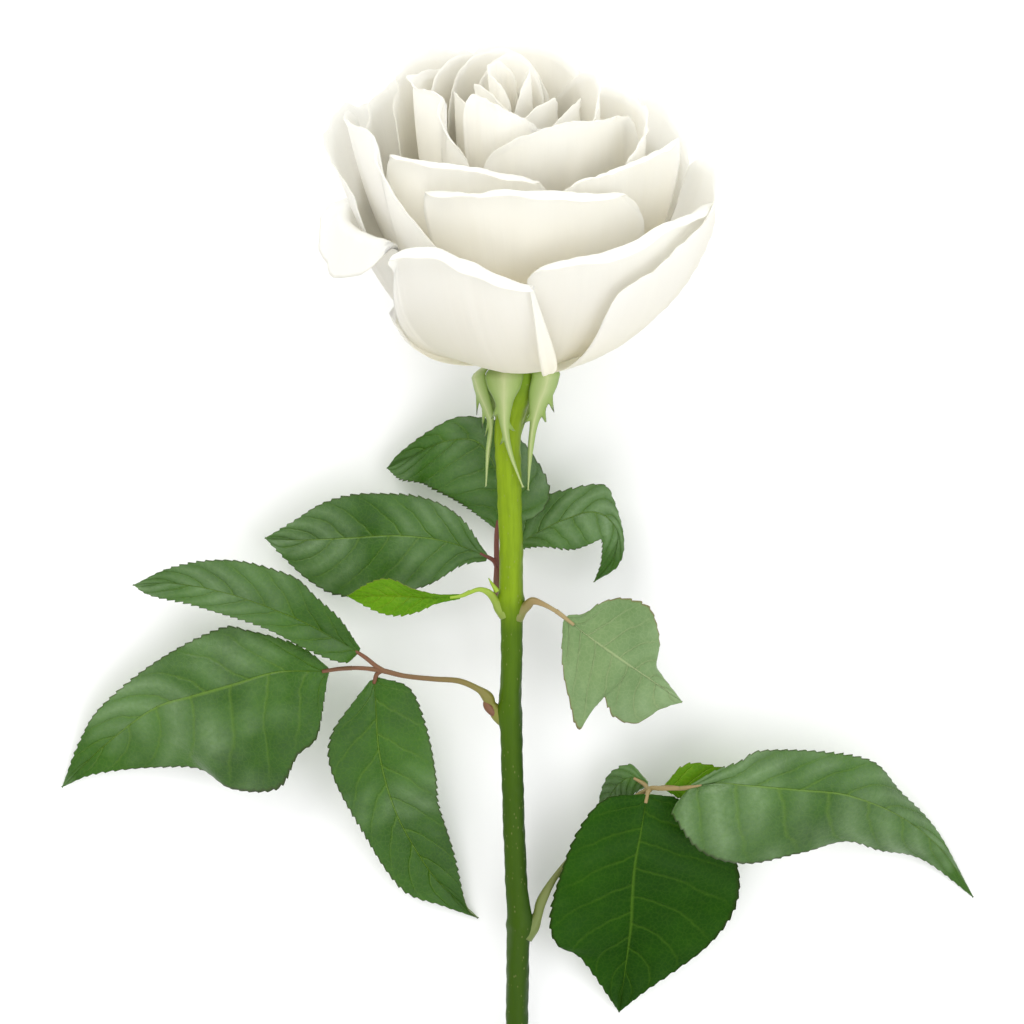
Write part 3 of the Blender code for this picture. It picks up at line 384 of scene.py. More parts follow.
# ---------------------------------------------------------------- leaves and sepals
# Each blade is lofted between its left edge, midrib and right edge, base to tip.  The
# midrib's points are (x, y, height mm); an edge's are (x, y, mm above the midrib).
BLADES = {
    "leaf_a_leaflet_1": (
        [(359, 652, 19), (330, 636, 22), (300, 621, 24.5), (257, 603, 26), (213, 590, 25), (170, 583, 22), (133, 585, 18)],
        [(360, 648, 0), (341, 620, 2.5), (315, 596, 3), (289, 575, 3), (226, 559, 3), (172, 567, 1.5), (133, 585, 0)],
        [(355, 656, 0), (343, 663, 0), (309, 651, -1), (261, 627, -1), (200, 607, -1), (151, 596, 0), (133, 585, 0)],
    ),
    "leaf_a_leaflet_2": (
        [(330, 671, 17.5), (278, 672, 19.5), (235, 684, 19), (192, 696, 16), (153, 709, 11), (105, 745, 4), (62, 787, 0.8)],
        [(328, 674, 0), (318, 735, -1), (298, 755, -1), (278, 789, -2), (231, 789, -3), (200, 769, -3), (164, 766, -1.5), (96, 774, 0), (62, 787, 0)],
        [(328, 667, 0), (300, 646, -1), (248, 630, -1), (220, 628, -1), (161, 658, -1), (103, 703, 0), (79, 742, 0), (62, 787, 0)],
    ),
    "leaf_a_leaflet_3": (
        [(374, 679, 17), (376, 712, 17.5), (379, 751, 15.5), (390, 797, 11.5), (407, 835, 8), (437, 880, 4), (478, 918, 1)],
        [(378, 677, 0), (409, 688, 1), (425, 724, 1.5), (436, 770, 1.5), (439, 804, 1), (453, 848, 0.5), (466, 904, 0), (478, 918, 0)],
        [(370, 681, 0), (354, 701, 1.5), (331, 738, 2.5), (332, 774, 2.5), (363, 833, 1.5), (401, 889, 0.5), (443, 906, 0), (478, 918, 0)],
    ),
    "leaf_b_leaflet_1": (
        [(488, 556, 15.5), (445, 541, 16), (400, 536, 16), (350, 538, 14), (300, 540, 11), (265, 538, 8)],
        [(486, 561, 0), (461, 566, 0), (419, 588, -1), (347, 597, -1.5), (311, 583, -1), (278, 552, 0), (265, 538, 0)],
        [(486, 553, 0), (460, 516, 1.5), (422, 497, 2), (369, 493, 2), (327, 501, 1.5), (295, 520, 0.5), (265, 538, 0)],
    ),
    "leaf_b_leaflet_2": (
        [(497, 528, 14.5), (500, 495, 14.5), (494, 465, 15), (476, 441, 15), (445, 441, 12.5), (415, 455, 8), (387, 468, 4)],
        [(494, 528, 0), (480, 517, -0.5), (459, 503, -1), (440, 493, -1), (419, 483, -1), (401, 480, 0), (387, 468, 0)],
        [(501, 528, 0), (537, 515, -1), (550, 493, -1), (538, 462, -1), (505, 425, 0), (463, 417, 1), (431, 429, 1), (400, 452, 0), (387, 468, 0)],
    ),
    "leaf_b_leaflet_3": (
        [(507, 551, 11), (530, 537, 11.5), (561, 521, 13.5), (595, 512, 14.5), (617, 530, 12.5), (612, 560, 10.5), (594, 582, 12)],
        [(507, 546, 0), (524, 503, -1.5), (551, 493, -2), (600, 484, 0), (614, 500, 0), (624, 540, 0), (618, 566, 0), (594, 582, 0)],
        [(508, 554, 0), (524, 549, 0), (545, 547, 0), (571, 550, 0), (586, 546, 1), (601, 540, 2), (601, 560, 2), (594, 582, 0)],
    ),
    "leaf_c_blade": (
        [(461, 596, 25.5), (436, 598, 25), (412, 597, 24.5), (385, 596, 23), (347, 596, 20)],
        [(460, 599, 0), (436, 604, 0), (419, 612, 1), (399, 616, 1), (377, 612, 0.5), (347, 596, 0)],
        [(459, 594, 0), (437, 594, 0.5), (419, 590, 1.5), (386, 579, 2), (368, 583, 1), (347, 596, 0)],
    ),
    "leaf_d_blade": (
        [(565, 618, 24), (588, 636, 26), (622, 660, 26), (659, 685, 22), (682, 702, 19)],
        [(569, 615, 0), (586, 613, -1), (604, 601, -2), (626, 598, -3), (651, 609, -3), (660, 646, -1.5), (658, 668, 0), (682, 702, 0)],
        [(563, 622, 0), (562, 655, -1.5), (569, 696, -3), (579, 729, -4), (600, 695, -2), (613, 717, -2), (635, 725, -2), (659, 710, -0.5), (682, 702, 0)],
    ),
    "leaf_e_leaflet_1": (
        [(647, 795, 16.5), (641, 830, 17), (635, 865, 15.5), (632, 900, 12.5), (630, 935, 8.5), (619, 1012, 1)],
        [(651, 794, 0), (681, 800, -2), (712, 828, -4), (737, 865, -5), (735, 910, -4.5), (704, 950, -2.5), (650, 988, -0.8), (619, 1012, 0)],
        [(643, 794, 0), (605, 799, 0.5), (578, 829, 1), (560, 874, 1), (550, 922, 0), (558, 946, 0), (581, 959, -0.5), (608, 997, 0), (619, 1012, 0)],
    ),
    "leaf_e_leaflet_2": (
        [(690, 787, 20), (720, 783, 22.5), (746, 785, 24), (800, 790, 23), (851, 796, 20), (905, 819, 13), (944, 853, 5.5), (973, 897, 0.8)],
        [(692, 784, 0), (714, 771, 0.5), (740, 761, 0.5), (761, 750, 0), (818, 751, -0.5), (872, 761, -1), (902, 793, -1), (938, 832, -0.5), (973, 897, 0)],
        [(688, 790, 0), (672, 808, -0.5), (675, 820, -0.5), (701, 851, -0.5), (749, 864, -1), (800, 853, -1), (845, 841, -1), (880, 849, -0.5), (923, 860, 0), (973, 897, 0)],
    ),
    "leaf_e_leaflet_3": (
        [(648, 782, 13.5), (632, 777, 12.5), (617, 786, 10), (606, 806, 6), (600, 826, 3)],
        [(648, 787, 0), (640, 790, 0), (628, 800, 0), (616, 816, 0), (600, 826, 0)],
        [(645, 778, 0), (630, 764, 0), (610, 773, 0), (600, 795, 0), (600, 826, 0)],
    ),
    "leaf_e_leaflet_4": (
        [(664, 786, 13.5), (690, 787, 13), (715, 792, 11.5), (740, 803, 9), (762, 820, 6)],
        [(667, 782, 0), (680, 767, 0), (700, 763, 0), (734, 772, -0.5), (757, 793, -0.5), (762, 820, 0)],
        [(665, 790, 0), (682, 800, -0.5), (703, 812, -1), (730, 822, -1), (762, 820, 0)],
    ),
}

# Sepals hang from the rim of the hip and end in a thin tip along the stem.
SEPALS = {
    "sepal_1": (
        [(504, 377, 37.6), (504, 388, 36.6), (504, 402, 34.4), (505, 428, 31.6), (511, 455, 29), (523, 487, 26.5)],
        [(523, 377, -1.2), (520, 388, -1), (513, 402, -0.5), (509, 428, 0), (513, 455, 0), (523, 487, 0)],
        [(485, 377, -1.6), (488, 388, -1), (495, 402, -0.5), (501, 428, 0), (509, 455, 0), (523, 487, 0)],
    ),
    "sepal_2": (
        [(546, 375, 34.5), (543, 388, 32.5), (538, 402, 30), (533, 422, 27.8), (530, 450, 25), (528, 490, 22.5)],
        [(560, 374, -3.8), (556, 388, -3), (547, 406, -1.5), (538, 424, -0.5), (533, 450, 0), (528, 490, 0)],
        [(532, 377, 1.6), (529, 390, 1.2), (529, 405, 0.5), (530, 423, 0), (528, 450, 0), (528, 490, 0)],
    ),
    "sepal_3": (
        [(477, 376, 31.5), (481, 390, 30), (487, 406, 28), (491, 424, 26), (488, 452, 24), (486, 486, 22)],
        [(485, 374, 3), (488, 390, 2), (492, 406, 1), (494, 424, 0), (490, 452, 0), (486, 486, 0)],
        [(472, 378, -3), (475, 391, -2), (482, 408, -1), (488, 426, 0), (486, 452, 0), (486, 486, 0)],
    ),
    "sepal_4": (
        [(499, 374, 19.5), (496, 388, 19), (497, 404, 18.6), (499, 420, 18.3), (501, 445, 17.8)],
        [(487, 376, 3), (487, 388, 2), (491, 404, 1), (496, 420, 0), (501, 445, 0)],
        [(510, 374, -1), (505, 388, -0.8), (503, 404, -0.5), (502, 420, 0), (501, 445, 0)],
    ),
    "sepal_5": (
        [(534, 374, 19.5), (532, 388, 19), (528, 404, 18.6), (523, 420, 18.3), (518, 445, 17.8)],
        [(523, 374, -1), (522, 388, -0.8), (521, 404, -0.5), (520, 420, 0), (518, 445, 0)],
        [(545, 376, 3), (542, 388, 2), (535, 404, 1), (526, 420, 0), (518, 445, 0)],
    ),
}

# Stem and hip: (x, y, height mm, radius mm).  The last two points run past the sheet.
STEM = [
    (520.3, 344.5, 31.6, 0.9), (520.2, 348, 31.2, 2.2), (520, 357, 30.2, 5.4), (520, 360, 29.9, 6.4),
    (519.7, 365, 29.3, 6.8), (518.8, 374, 28.2, 6.4), (516.5, 387, 26.9, 5.2),
    (512.5, 402, 25.8, 4.1), (509, 418, 25.4, 3.6), (507.5, 440, 24.9, 3.3), (509, 480, 23.8, 3.1),
    (511, 540, 22.3, 3.0), (511, 585, 21.1, 3.05), (510.5, 600, 20.8, 3.5), (511.5, 616, 20.4, 2.9),
    (512, 650, 19.5, 2.75), (510.5, 695, 18.3, 2.8), (509.5, 714, 17.8, 3.3), (511, 733, 17.3, 2.85),
    (513, 790, 15.9, 2.8), (515.5, 870, 13.8, 2.85), (518.5, 906, 12.8, 3.0), (520, 924, 12.3, 3.6),
    (518.5, 942, 11.8, 3.0), (517.5, 975, 11, 2.95), (517, 1030, 9.5, 2.9), (518, 1110, 7.0, 2.9),
    (520, 1220, 3.4, 2.9),
]
CUT_AT = (519, 1205, 4)      # middle of the slanting cut, with the height of the stem there
CUT_SLANT = math.radians(38)

# Leaf stalks: (x, y, height mm, radius mm)
STALKS = {
    "leaf_a_stalk": [(491.5, 705, 17.9, 1.3), (487.5, 697, 18.6, 1.5), (478, 689, 20, 1.15), (459, 681, 21, 1.0),
                     (434, 679, 21, 0.9), (405, 676, 20, 0.85), (384, 671, 19, 0.9), (366, 668.5, 18.3, 0.75),
                     (350, 668, 18, 0.7), (338, 669, 17.8, 0.65)],
    "leaf_b_stalk": [(500, 594, 15.6, 1.6), (498, 582, 14.8, 1.2), (497, 566, 14.5, 1.0), (496.5, 548, 14.4, 0.9),
                     (496.5, 534, 14.5, 0.8)],
    "leaf_c_stalk": [(495.5, 601, 22.6, 1.1), (489, 593, 24.3, 0.9), (479, 589.5, 25.4, 0.8), (466, 594, 25.7, 0.7)],
    "leaf_d_stalk": [(526.5, 606, 22.2, 1.3), (533, 601, 23.6, 1.0), (545, 605, 24.2, 0.85), (560, 613.5, 24.2, 0.7)],
    "leaf_e_stalk": [(537.5, 915, 12.5, 1.3), (542, 900, 12.9, 1.35), (556, 876, 12.9, 1.1), (585, 842, 12.3, 1.0),
                     (622, 807, 12.6, 0.95), (648, 789.5, 14.6, 0.85), (662, 788.5, 16.6, 0.8), (684, 788.5, 19.3, 0.7)],
}


def curve_of(points, count, heights):
    """Sheet points as a smooth line in space, count + 1 rows."""
    space = np.array([at_height(p[0], p[1], z / 1000) for p, z in zip(points, heights)])
    fine = spline(space, count)
    return resample(fine, fine, count)


def blade_grid(mid, left, right, nt, nh):
    """Rows along the blade, 2 * nh + 1 points across, tips pinched to a short end."""
    heights = [p[2] for p in mid]
    m = curve_of(mid, nt, heights)
    # an edge's height is the midrib's at the same share of the length, plus its own
    share = np.linspace(0, 1, len(mid))

    def edge(points):
        u = np.linspace(0, 1, len(points))
        return curve_of(points, nt, [np.interp(a, share, heights) + p[2] for a, p in zip(u, points)])

    le, ri = edge(left), edge(right)
    rows = np.zeros((nt + 1, 2 * nh + 1, 3))
    for j in range(nt + 1):
        for i in range(nh + 1):
            s = i / nh
            rows[j, nh - i] = m[j] + (le[j] - m[j]) * s
            rows[j, nh + i] = m[j] + (ri[j] - m[j]) * s
    # a blunt last row, about a millimetre wide
    across = rows[nt - 1, -1] - rows[nt - 1, 0]
    across /= max(np.linalg.norm(across), 1e-9)
    for i in range(2 * nh + 1):
        rows[nt, i] = m[nt] + across * (i / (2 * nh) - 0.5) * 0.0009
    return rows


def clear_of_stem(rows, gap):
    """Moves points out from the line of the stem to lie clear of its surface."""
    line = spline([(*at_height(x, y, z / 1000), r / 1000) for x, y, z, r in STEM], 0)
    rows = rows.copy()
    for j in range(rows.shape[0]):
        for i in range(rows.shape[1]):
            for _ in range(2):
                away = rows[j, i] - line[:, :3]
                far = np.linalg.norm(away, axis=1)
                k = int(np.argmin(far - line[:, 3]))
                lack = line[k, 3] + gap - far[k]
                if lack > 0:
                    rows[j, i] = rows[j, i] + away[k] / far[k] * lack
    return rows



# ---------------------------------------------------------------- looks
SHIFT = Vector((-0.001783, 0.030902, -0.000545))   # layout to row frame, as the solids have it


def lin(r, g, b):
    """Display red, green, blue (0 to 255) as linear light."""
    out = []
    for c in (r, g, b):
        c = c / 255
        out.append(c / 12.92 if c <= 0.04045 else ((c + 0.055) / 1.055) ** 2.4)
    return (*out, 1.0)


class Nodes:
    """Short calls for building a node tree."""

    def __init__(self, name):
        self.mat = bpy.data.materials.new(name)
        self.mat.use_nodes = True
        self.tree = self.mat.node_tree
        self.tree.nodes.clear()
        self.out = self.tree.nodes.new("ShaderNodeOutputMaterial")

    def add(self, kind, **settings):
        node = self.tree.nodes.new("ShaderNode" + kind)
        for key, value in settings.items():
            setattr(node, key, value)
        return node

    def link(self, a, b):
        self.tree.links.new(a, b)

    def put(self, socket, value):
        if isinstance(value, bpy.types.NodeSocket):
            self.link(value, socket)
        elif value is not None:
            socket.default_value = value

    def math(self, op, a, b=None, clamp=False):
        n = self.add("Math", operation=op, use_clamp=clamp)
        self.put(n.inputs[0], a)
        self.put(n.inputs[1], b)
        return n.outputs[0]

    def ramp(self, fac, *stops):
        n = self.add("ValToRGB")
        self.put(n.inputs[0], fac)
        while len(n.color_ramp.elements) < len(stops):
            n.color_ramp.elements.new(0.5)
        for e, (at, colour) in zip(n.color_ramp.elements, stops):
            e.position = at
            e.color = colour if len(colour) == 4 else (*colour, 1)
        return n.outputs[0]

    def mix(self, fac, a, b, blend="MIX"):
        n = self.add("Mix", data_type="RGBA", blend_type=blend)
        n.clamp_factor = True
        self.put(n.inputs[0], fac)
        self.put(n.inputs[6], a)
        self.put(n.inputs[7], b)
        return n.outputs[2]

    def noise(self, vector, scale, detail=4.0, rough=0.55, distortion=0.0):
        n = self.add("TexNoise")
        self.put(n.inputs["Vector"], vector)
        n.inputs["Scale"].default_value = scale
        n.inputs["Detail"].default_value = detail
        n.inputs["Roughness"].default_value = rough
        n.inputs["Distortion"].default_value = distortion
        return n.outputs["Fac"]

    def voronoi(self, vector, scale, feature="DISTANCE_TO_EDGE"):
        n = self.add("TexVoronoi", feature=feature)
        self.put(n.inputs["Vector"], vector)
        n.inputs["Scale"].default_value = scale
        return n.outputs[0]

    def uv(self):
        n = self.add("UVMap")
        s = self.add("SeparateXYZ")
        self.link(n.outputs[0], s.inputs[0])
        return n.outputs[0], s.outputs[0], s.outputs[1]

    def place(self, x=None, y=None, z=None):
        n = self.add("CombineXYZ")
        self.put(n.inputs[0], x)
        self.put(n.inputs[1], y)
        self.put(n.inputs[2], z)
        return n.outputs[0]

    def object_point(self):
        return self.add("TexCoord").outputs["Object"]

    def bump(self, height, strength, distance, normal=None):
        n = self.add("Bump")
        n.inputs["Strength"].default_value = strength
        n.inputs["Distance"].default_value = distance
        self.put(n.inputs["Height"], height)
        if normal is not None:
            self.link(normal, n.inputs["Normal"])
        return n.outputs[0]

    def finish(self, colour, rough, normal, translucent=None, share=0.0, **plain):
        p = self.add("BsdfPrincipled")
        self.put(p.inputs["Base Color"], colour)
        self.put(p.inputs["Roughness"], rough)
        if normal is not None:
            self.link(normal, p.inputs["Normal"])
        for key, value in plain.items():
            p.inputs[key.replace("_", " ")].default_value = value
        last = p.outputs[0]
        if translucent is not None:
            t = self.add("BsdfTranslucent")
            self.put(t.inputs["Color"], translucent)
            m = self.add("MixShader")
            m.inputs[0].default_value = share
            self.link(last, m.inputs[1])
            self.link(t.outputs[0], m.inputs[2])
            last = m.outputs[0]
        self.link(last, self.out.inputs["Surface"])
        return self.mat


def petal_material(name, tip, mid, deep, claw, vein=0.5):
    """Tissue that is white at the rim and warms towards the claw, with fine veins
    running up the petal and a faint satin."""
    n = Nodes(name)
    _, u, v = n.uv()
    wobble = n.noise(n.place(n.math("MULTIPLY", u, 2.0), n.math("MULTIPLY", v, 2.0)), 2.0, 3.0)
    along = n.math("ADD", v, n.math("MULTIPLY", n.math("SUBTRACT", wobble, 0.5), 0.18))
    base = n.ramp(along, (0.0, claw), (0.32, deep), (0.58, mid), (0.76, tip))
    # fine veins fan up the petal and fade before the rim
    fan = n.place(n.math("MULTIPLY", u, 55.0), n.math("MULTIPLY", v, 3.2))
    lines = n.noise(fan, 1.0, 5.0, 0.6, 0.4)
    wide = n.noise(n.place(n.math("MULTIPLY", u, 14.0), n.math("MULTIPLY", v, 1.6)), 1.0, 3.0, 0.5, 0.3)
    fade = n.ramp(v, (0.0, (1, 1, 1)), (0.95, (0.35, 0.35, 0.35)))
    shade = n.math("MULTIPLY", n.math("MULTIPLY", lines, wide), fade)
    colour = n.mix(n.math("MULTIPLY", shade, 0.16 * vein, True), base, lin(222, 218, 186))
    blotch = n.noise(n.object_point(), 60.0, 3.0)
    colour = n.mix(n.math("MULTIPLY", n.math("SUBTRACT", blotch, 0.45, True), 0.10), colour, lin(248, 242, 220))
    # the cut edge of the rim dries a little
    edge = n.ramp(v, (0.985, (0, 0, 0)), (1.0, (1, 1, 1)))
    colour = n.mix(n.math("MULTIPLY", edge, 0.25), colour, lin(236, 226, 196))
    cells = n.noise(n.object_point(), 2600.0, 2.0)
    b1 = n.bump(lines, 0.32, 0.00022)
    b2 = n.bump(wide, 0.35, 0.0006, b1)
    b3 = n.bump(cells, 0.12, 0.00004, b2)
    rough = n.math("ADD", n.math("MULTIPLY", wide, 0.18), 0.42)
    return n.finish(colour, rough, b3, n.mix(0.7, colour, lin(254, 253, 247)), 0.52,
                    Specular_IOR_Level=0.35, Sheen_Weight=0.12, Sheen_Roughness=0.4)


def leaf_material(name, dark, light, vein, margin, gloss=0.36, pale=False, painted_sheen=0.6, count=8.0, shine=0.3):
    """Leaf tissue: a mid vein, side veins that sweep to the edge, a net of small veins
    between them, a fine dark margin, a gloss, and painted sheen: pale patches in the colour."""
    n = Nodes(name)
    _, u, v = n.uv()
    across = n.math("ABSOLUTE", n.math("SUBTRACT", n.math("MULTIPLY", u, 2.0), 1.0))
    half = n.math("GREATER_THAN", u, 0.5)
    sweep = n.math("MULTIPLY", n.math("POWER", across, 1.15), 0.20)
    wav = n.noise(n.place(n.math("MULTIPLY", u, 3.0), n.math("MULTIPLY", v, 4.0)), 1.5, 2.0)
    at = n.math("SUBTRACT", n.math("ADD", v, n.math("MULTIPLY", n.math("SUBTRACT", wav, 0.5), 0.05)), sweep)
    phase = n.math("FRACT", n.math("ADD", n.math("MULTIPLY", at, count), n.math("MULTIPLY", half, 0.45)))
    off = n.math("ABSOLUTE", n.math("SUBTRACT", phase, 0.5))
    side = n.ramp(off, (0.0, (1, 1, 1)), (0.025, (0.7, 0.7, 0.7)), (0.075, (0, 0, 0)))
    side = n.math("MULTIPLY", side, n.ramp(across, (0.0, (1, 1, 1)), (0.75, (0.6, 0.6, 0.6)), (1.0, (0, 0, 0))))
    rib = n.ramp(across, (0.0, (1, 1, 1)), (0.010, (0.8, 0.8, 0.8)), (0.026, (0, 0, 0)))
    net = n.voronoi(n.object_point(), 780.0)
    net = n.ramp(net, (0.0, (1, 1, 1)), (0.12, (0, 0, 0)))
    tone = n.noise(n.object_point(), 45.0, 5.0, 0.6)
    fine = n.noise(n.object_point(), 900.0, 3.0)
    body = n.ramp(tone, (0.28, dark), (0.72, light))
    body = n.mix(n.math("MULTIPLY", fine, 0.18), body, light)
    # painted sheen: pale grey-green patches between the side veins stand in for the leaf's highlights
    painted_sheen_mask = n.ramp(n.noise(n.object_point(), 26.0, 3.0, 0.5, 0.6), (0.44, (0, 0, 0)), (0.66, (1, 1, 1)))
    swell = n.math("MULTIPLY", n.math("ADD", off, 0.25), painted_sheen_mask, True)
    swell = n.math("MULTIPLY", swell, n.math("ADD", n.math("MULTIPLY", fine, 0.8), 0.5), True)
    # the painted sheen colour is mixed in where that mask is high
    body = n.mix(n.math("MULTIPLY", swell, painted_sheen), body, lin(146, 172, 130))
    body = n.mix(n.math("MULTIPLY", net, 0.12), body, vein)
    body = n.mix(n.math("MULTIPLY", side, 0.30), body, vein)
    body = n.mix(n.math("MULTIPLY", rib, 0.6), body, vein)
    rim = n.ramp(across, (0.955, (0, 0, 0)), (1.0, (1, 1, 1)))
    body = n.mix(n.math("MULTIPLY", rim, 0.75), body, margin)
    sign = -1.0 if not pale else 1.0
    raised = n.math("MULTIPLY", n.math("ADD", n.math("MULTIPLY", side, 0.8), rib), sign)
    b1 = n.bump(raised, 0.8, 0.0003)
    b2 = n.bump(n.math("MULTIPLY", net, sign), 0.5, 0.00007, b1)
    b3 = n.bump(n.noise(n.object_point(), 260.0, 4.0), 0.35, 0.00022, b2)
    rough = n.math("ADD", n.math("MULTIPLY", fine, 0.14), gloss)
    return n.finish(body, rough, b3, n.mix(0.35, body, lin(150, 190, 60)), 0.08,
                    Specular_IOR_Level=shine, Coat_Weight=0.15 * shine, Coat_Roughness=0.25)


def stem_material():
    n = Nodes("stem_skin")
    _, u, v = n.uv()
    p = n.object_point()
    streak = n.noise(n.place(n.math("MULTIPLY", u, 16.0), n.math("MULTIPLY", v, 18.0)), 1.0, 5.0, 0.6)
    blot = n.noise(p, 70.0, 4.0)
    at = n.math("ADD", v, n.math("MULTIPLY", n.math("SUBTRACT", blot, 0.5), 0.03))
    base = n.ramp(at, (0.0, lin(100, 134, 28)), (0.09, lin(130, 156, 24)), (0.275, lin(120, 148, 20)),
                  (0.315, lin(74, 104, 8)), (0.5, lin(54, 82, 4)), (1.0, lin(44, 70, 4)))
    # painted shade: one side of the stem is darkened as if turned away from the light, less so near the hip
    shade = n.ramp(u, (0.30, (0, 0, 0)), (0.46, (1, 1, 1)), (0.60, (1, 1, 1)), (0.8, (0, 0, 0)))
    painted_shade_along = n.ramp(v, (0.22, (0.35, 0.35, 0.35)), (0.4, (0.9, 0.9, 0.9)))
    base = n.mix(n.math("MULTIPLY", shade, painted_shade_along), base, lin(26, 54, 4))
    base = n.mix(n.math("MULTIPLY", n.math("SUBTRACT", streak, 0.42, True), 0.9), base, lin(40, 70, 12))
    # corky specks and fine lengthwise lines
    specks = n.ramp(n.voronoi(n.place(n.math("MULTIPLY", u, 9.0), n.math("MULTIPLY", v, 60.0)), 1.6, "F1"),
                    (0.0, (1, 1, 1)), (0.10, (0.6, 0.6, 0.6)), (0.17, (0, 0, 0)))
    base = n.mix(n.math("MULTIPLY", specks, 0.35), base, lin(150, 150, 96))
    lines = n.noise(n.place(n.math("MULTIPLY", u, 60.0), n.math("MULTIPLY", v, 10.0)), 1.0, 3.0)
    b1 = n.bump(lines, 0.4, 0.00012)
    b2 = n.bump(n.math("ADD", specks, blot), 0.4, 0.00018, b1)
    return n.finish(base, n.math("ADD", n.math("MULTIPLY", streak, 0.15), 0.34), b2,
                    Specular_IOR_Level=0.12)


def pith_material():
    """The cut face: a pale pith, a ring of wood and a green skin."""
    n = Nodes("stem_cut_face")
    _, u, v = n.uv()
    grain = n.noise(n.object_point(), 1400.0, 4.0)
    at = n.math("ADD", v, n.math("MULTIPLY", n.math("SUBTRACT", grain, 0.5), 0.12))
    base = n.ramp(at, (0.0, lin(226, 226, 190)), (0.42, lin(214, 220, 168)), (0.58, lin(170, 186, 110)),
                  (0.8, lin(196, 204, 140)), (0.95, lin(96, 128, 44)))
    base = n.mix(n.math("MULTIPLY", grain, 0.3), base, lin(150, 150, 90))
    return n.finish(base, 0.75, n.bump(grain, 0.5, 0.0001))


def stalk_material(name, a, b, c):
    """Leaf stalks run from one colour at the stem to another at the leaflets, reddish
    on some, with a mottle."""
    n = Nodes(name)
    _, u, v = n.uv()
    mottle = n.noise(n.place(n.math("MULTIPLY", u, 6.0), n.math("MULTIPLY", v, 14.0)), 1.0, 4.0)
    base = n.ramp(n.math("ADD", v, n.math("MULTIPLY", n.math("SUBTRACT", mottle, 0.5), 0.25)),
                  (0.0, a), (0.55, b), (1.0, c))
    base = n.mix(n.math("MULTIPLY", n.math("SUBTRACT", mottle, 0.5, True), 0.8), base, a)
    lines = n.noise(n.place(n.math("MULTIPLY", u, 24.0), n.math("MULTIPLY", v, 8.0)), 1.0, 3.0)
    return n.finish(base, 0.45, n.bump(lines, 0.5, 0.0001), Specular_IOR_Level=0.45)


def sepal_material():
    n = Nodes("sepal_skin")
    _, u, v = n.uv()
    across = n.math("ABSOLUTE", n.math("SUBTRACT", n.math("MULTIPLY", u, 2.0), 1.0))
    fine = n.noise(n.place(n.math("MULTIPLY", u, 12.0), n.math("MULTIPLY", v, 7.0)), 1.0, 5.0)
    base = n.ramp(n.math("ADD", across, n.math("MULTIPLY", n.math("SUBTRACT", fine, 0.5), 0.3)),
                  (0.0, lin(190, 200, 140)), (0.25, lin(168, 186, 116)), (0.75, lin(142, 168, 82)),
                  (1.0, lin(118, 150, 40)))
    fuzz = n.noise(n.object_point(), 3000.0, 2.0)
    return n.finish(base, 0.62, n.bump(n.math("ADD", fuzz, fine), 0.35, 0.00012),
                    n.mix(0.5, base, lin(190, 210, 90)), 0.15, Sheen_Weight=0.25, Sheen_Roughness=0.5)


PETAL_OUT = petal_material("petal_back_outer", lin(250, 250, 249), lin(248, 247, 244), lin(246, 245, 237), lin(240, 240, 220), 1.4)
PETAL_IN = petal_material("petal_face_outer", lin(252, 252, 250), lin(252, 250, 245), lin(252, 247, 232), lin(250, 245, 224), 0.9)
CORE_OUT = petal_material("petal_back_inner", lin(252, 252, 250), lin(253, 251, 244), lin(253, 243, 212), lin(251, 236, 184), 0.9)
CORE_IN = petal_material("petal_face_inner", lin(252, 251, 248), lin(253, 249, 238), lin(253, 238, 194), lin(250, 222, 134), 0.7)

LEAF_TOP = leaf_material("leaf_top", lin(26, 64, 0), lin(54, 100, 2), lin(104, 138, 40), lin(42, 42, 10), 0.33)
LEAF_BACK = leaf_material("leaf_back", lin(118, 144, 92), lin(142, 166, 118), lin(176, 190, 146), lin(96, 90, 50), 0.55, True)
BRIGHT_TOP = leaf_material("young_leaf_top", lin(64, 114, 0), lin(98, 146, 0), lin(160, 190, 50), lin(110, 110, 30), 0.38, painted_sheen=0.1, shine=0.14)
DEEP_TOP = leaf_material("leaf_deep_top", lin(14, 50, 0), lin(32, 74, 0), lin(80, 116, 30), lin(30, 34, 6), 0.42, painted_sheen=0.04, shine=0.06)
BRIGHT_BACK = leaf_material("young_leaf_back", lin(120, 160, 60), lin(150, 186, 84), lin(190, 206, 120), lin(110, 110, 50), 0.5, True, 0.2)
PALE_TOP = leaf_material("leaf_d_pale_back", lin(86, 118, 64), lin(124, 150, 98), lin(168, 184, 132), lin(120, 84, 50), 0.42, True)
STEM_SKIN, CUT_FACE = stem_material(), pith_material()
SEPAL_SKIN = sepal_material()
STALK_A = stalk_material("stalk_a_skin", lin(120, 124, 44), lin(112, 84, 50), lin(110, 66, 44))
STALK_B = stalk_material("stalk_b_skin", lin(96, 84, 44), lin(104, 58, 48), lin(112, 60, 50))
STALK_C = stalk_material("stalk_c_skin", lin(120, 140, 50), lin(136, 160, 50), lin(140, 170, 40))
STALK_D = stalk_material("stalk_d_skin", lin(110, 118, 56), lin(140, 118, 74), lin(156, 138, 96))
STALK_E = stalk_material("stalk_e_skin", lin(96, 112, 50), lin(108, 108, 56), lin(150, 126, 84))


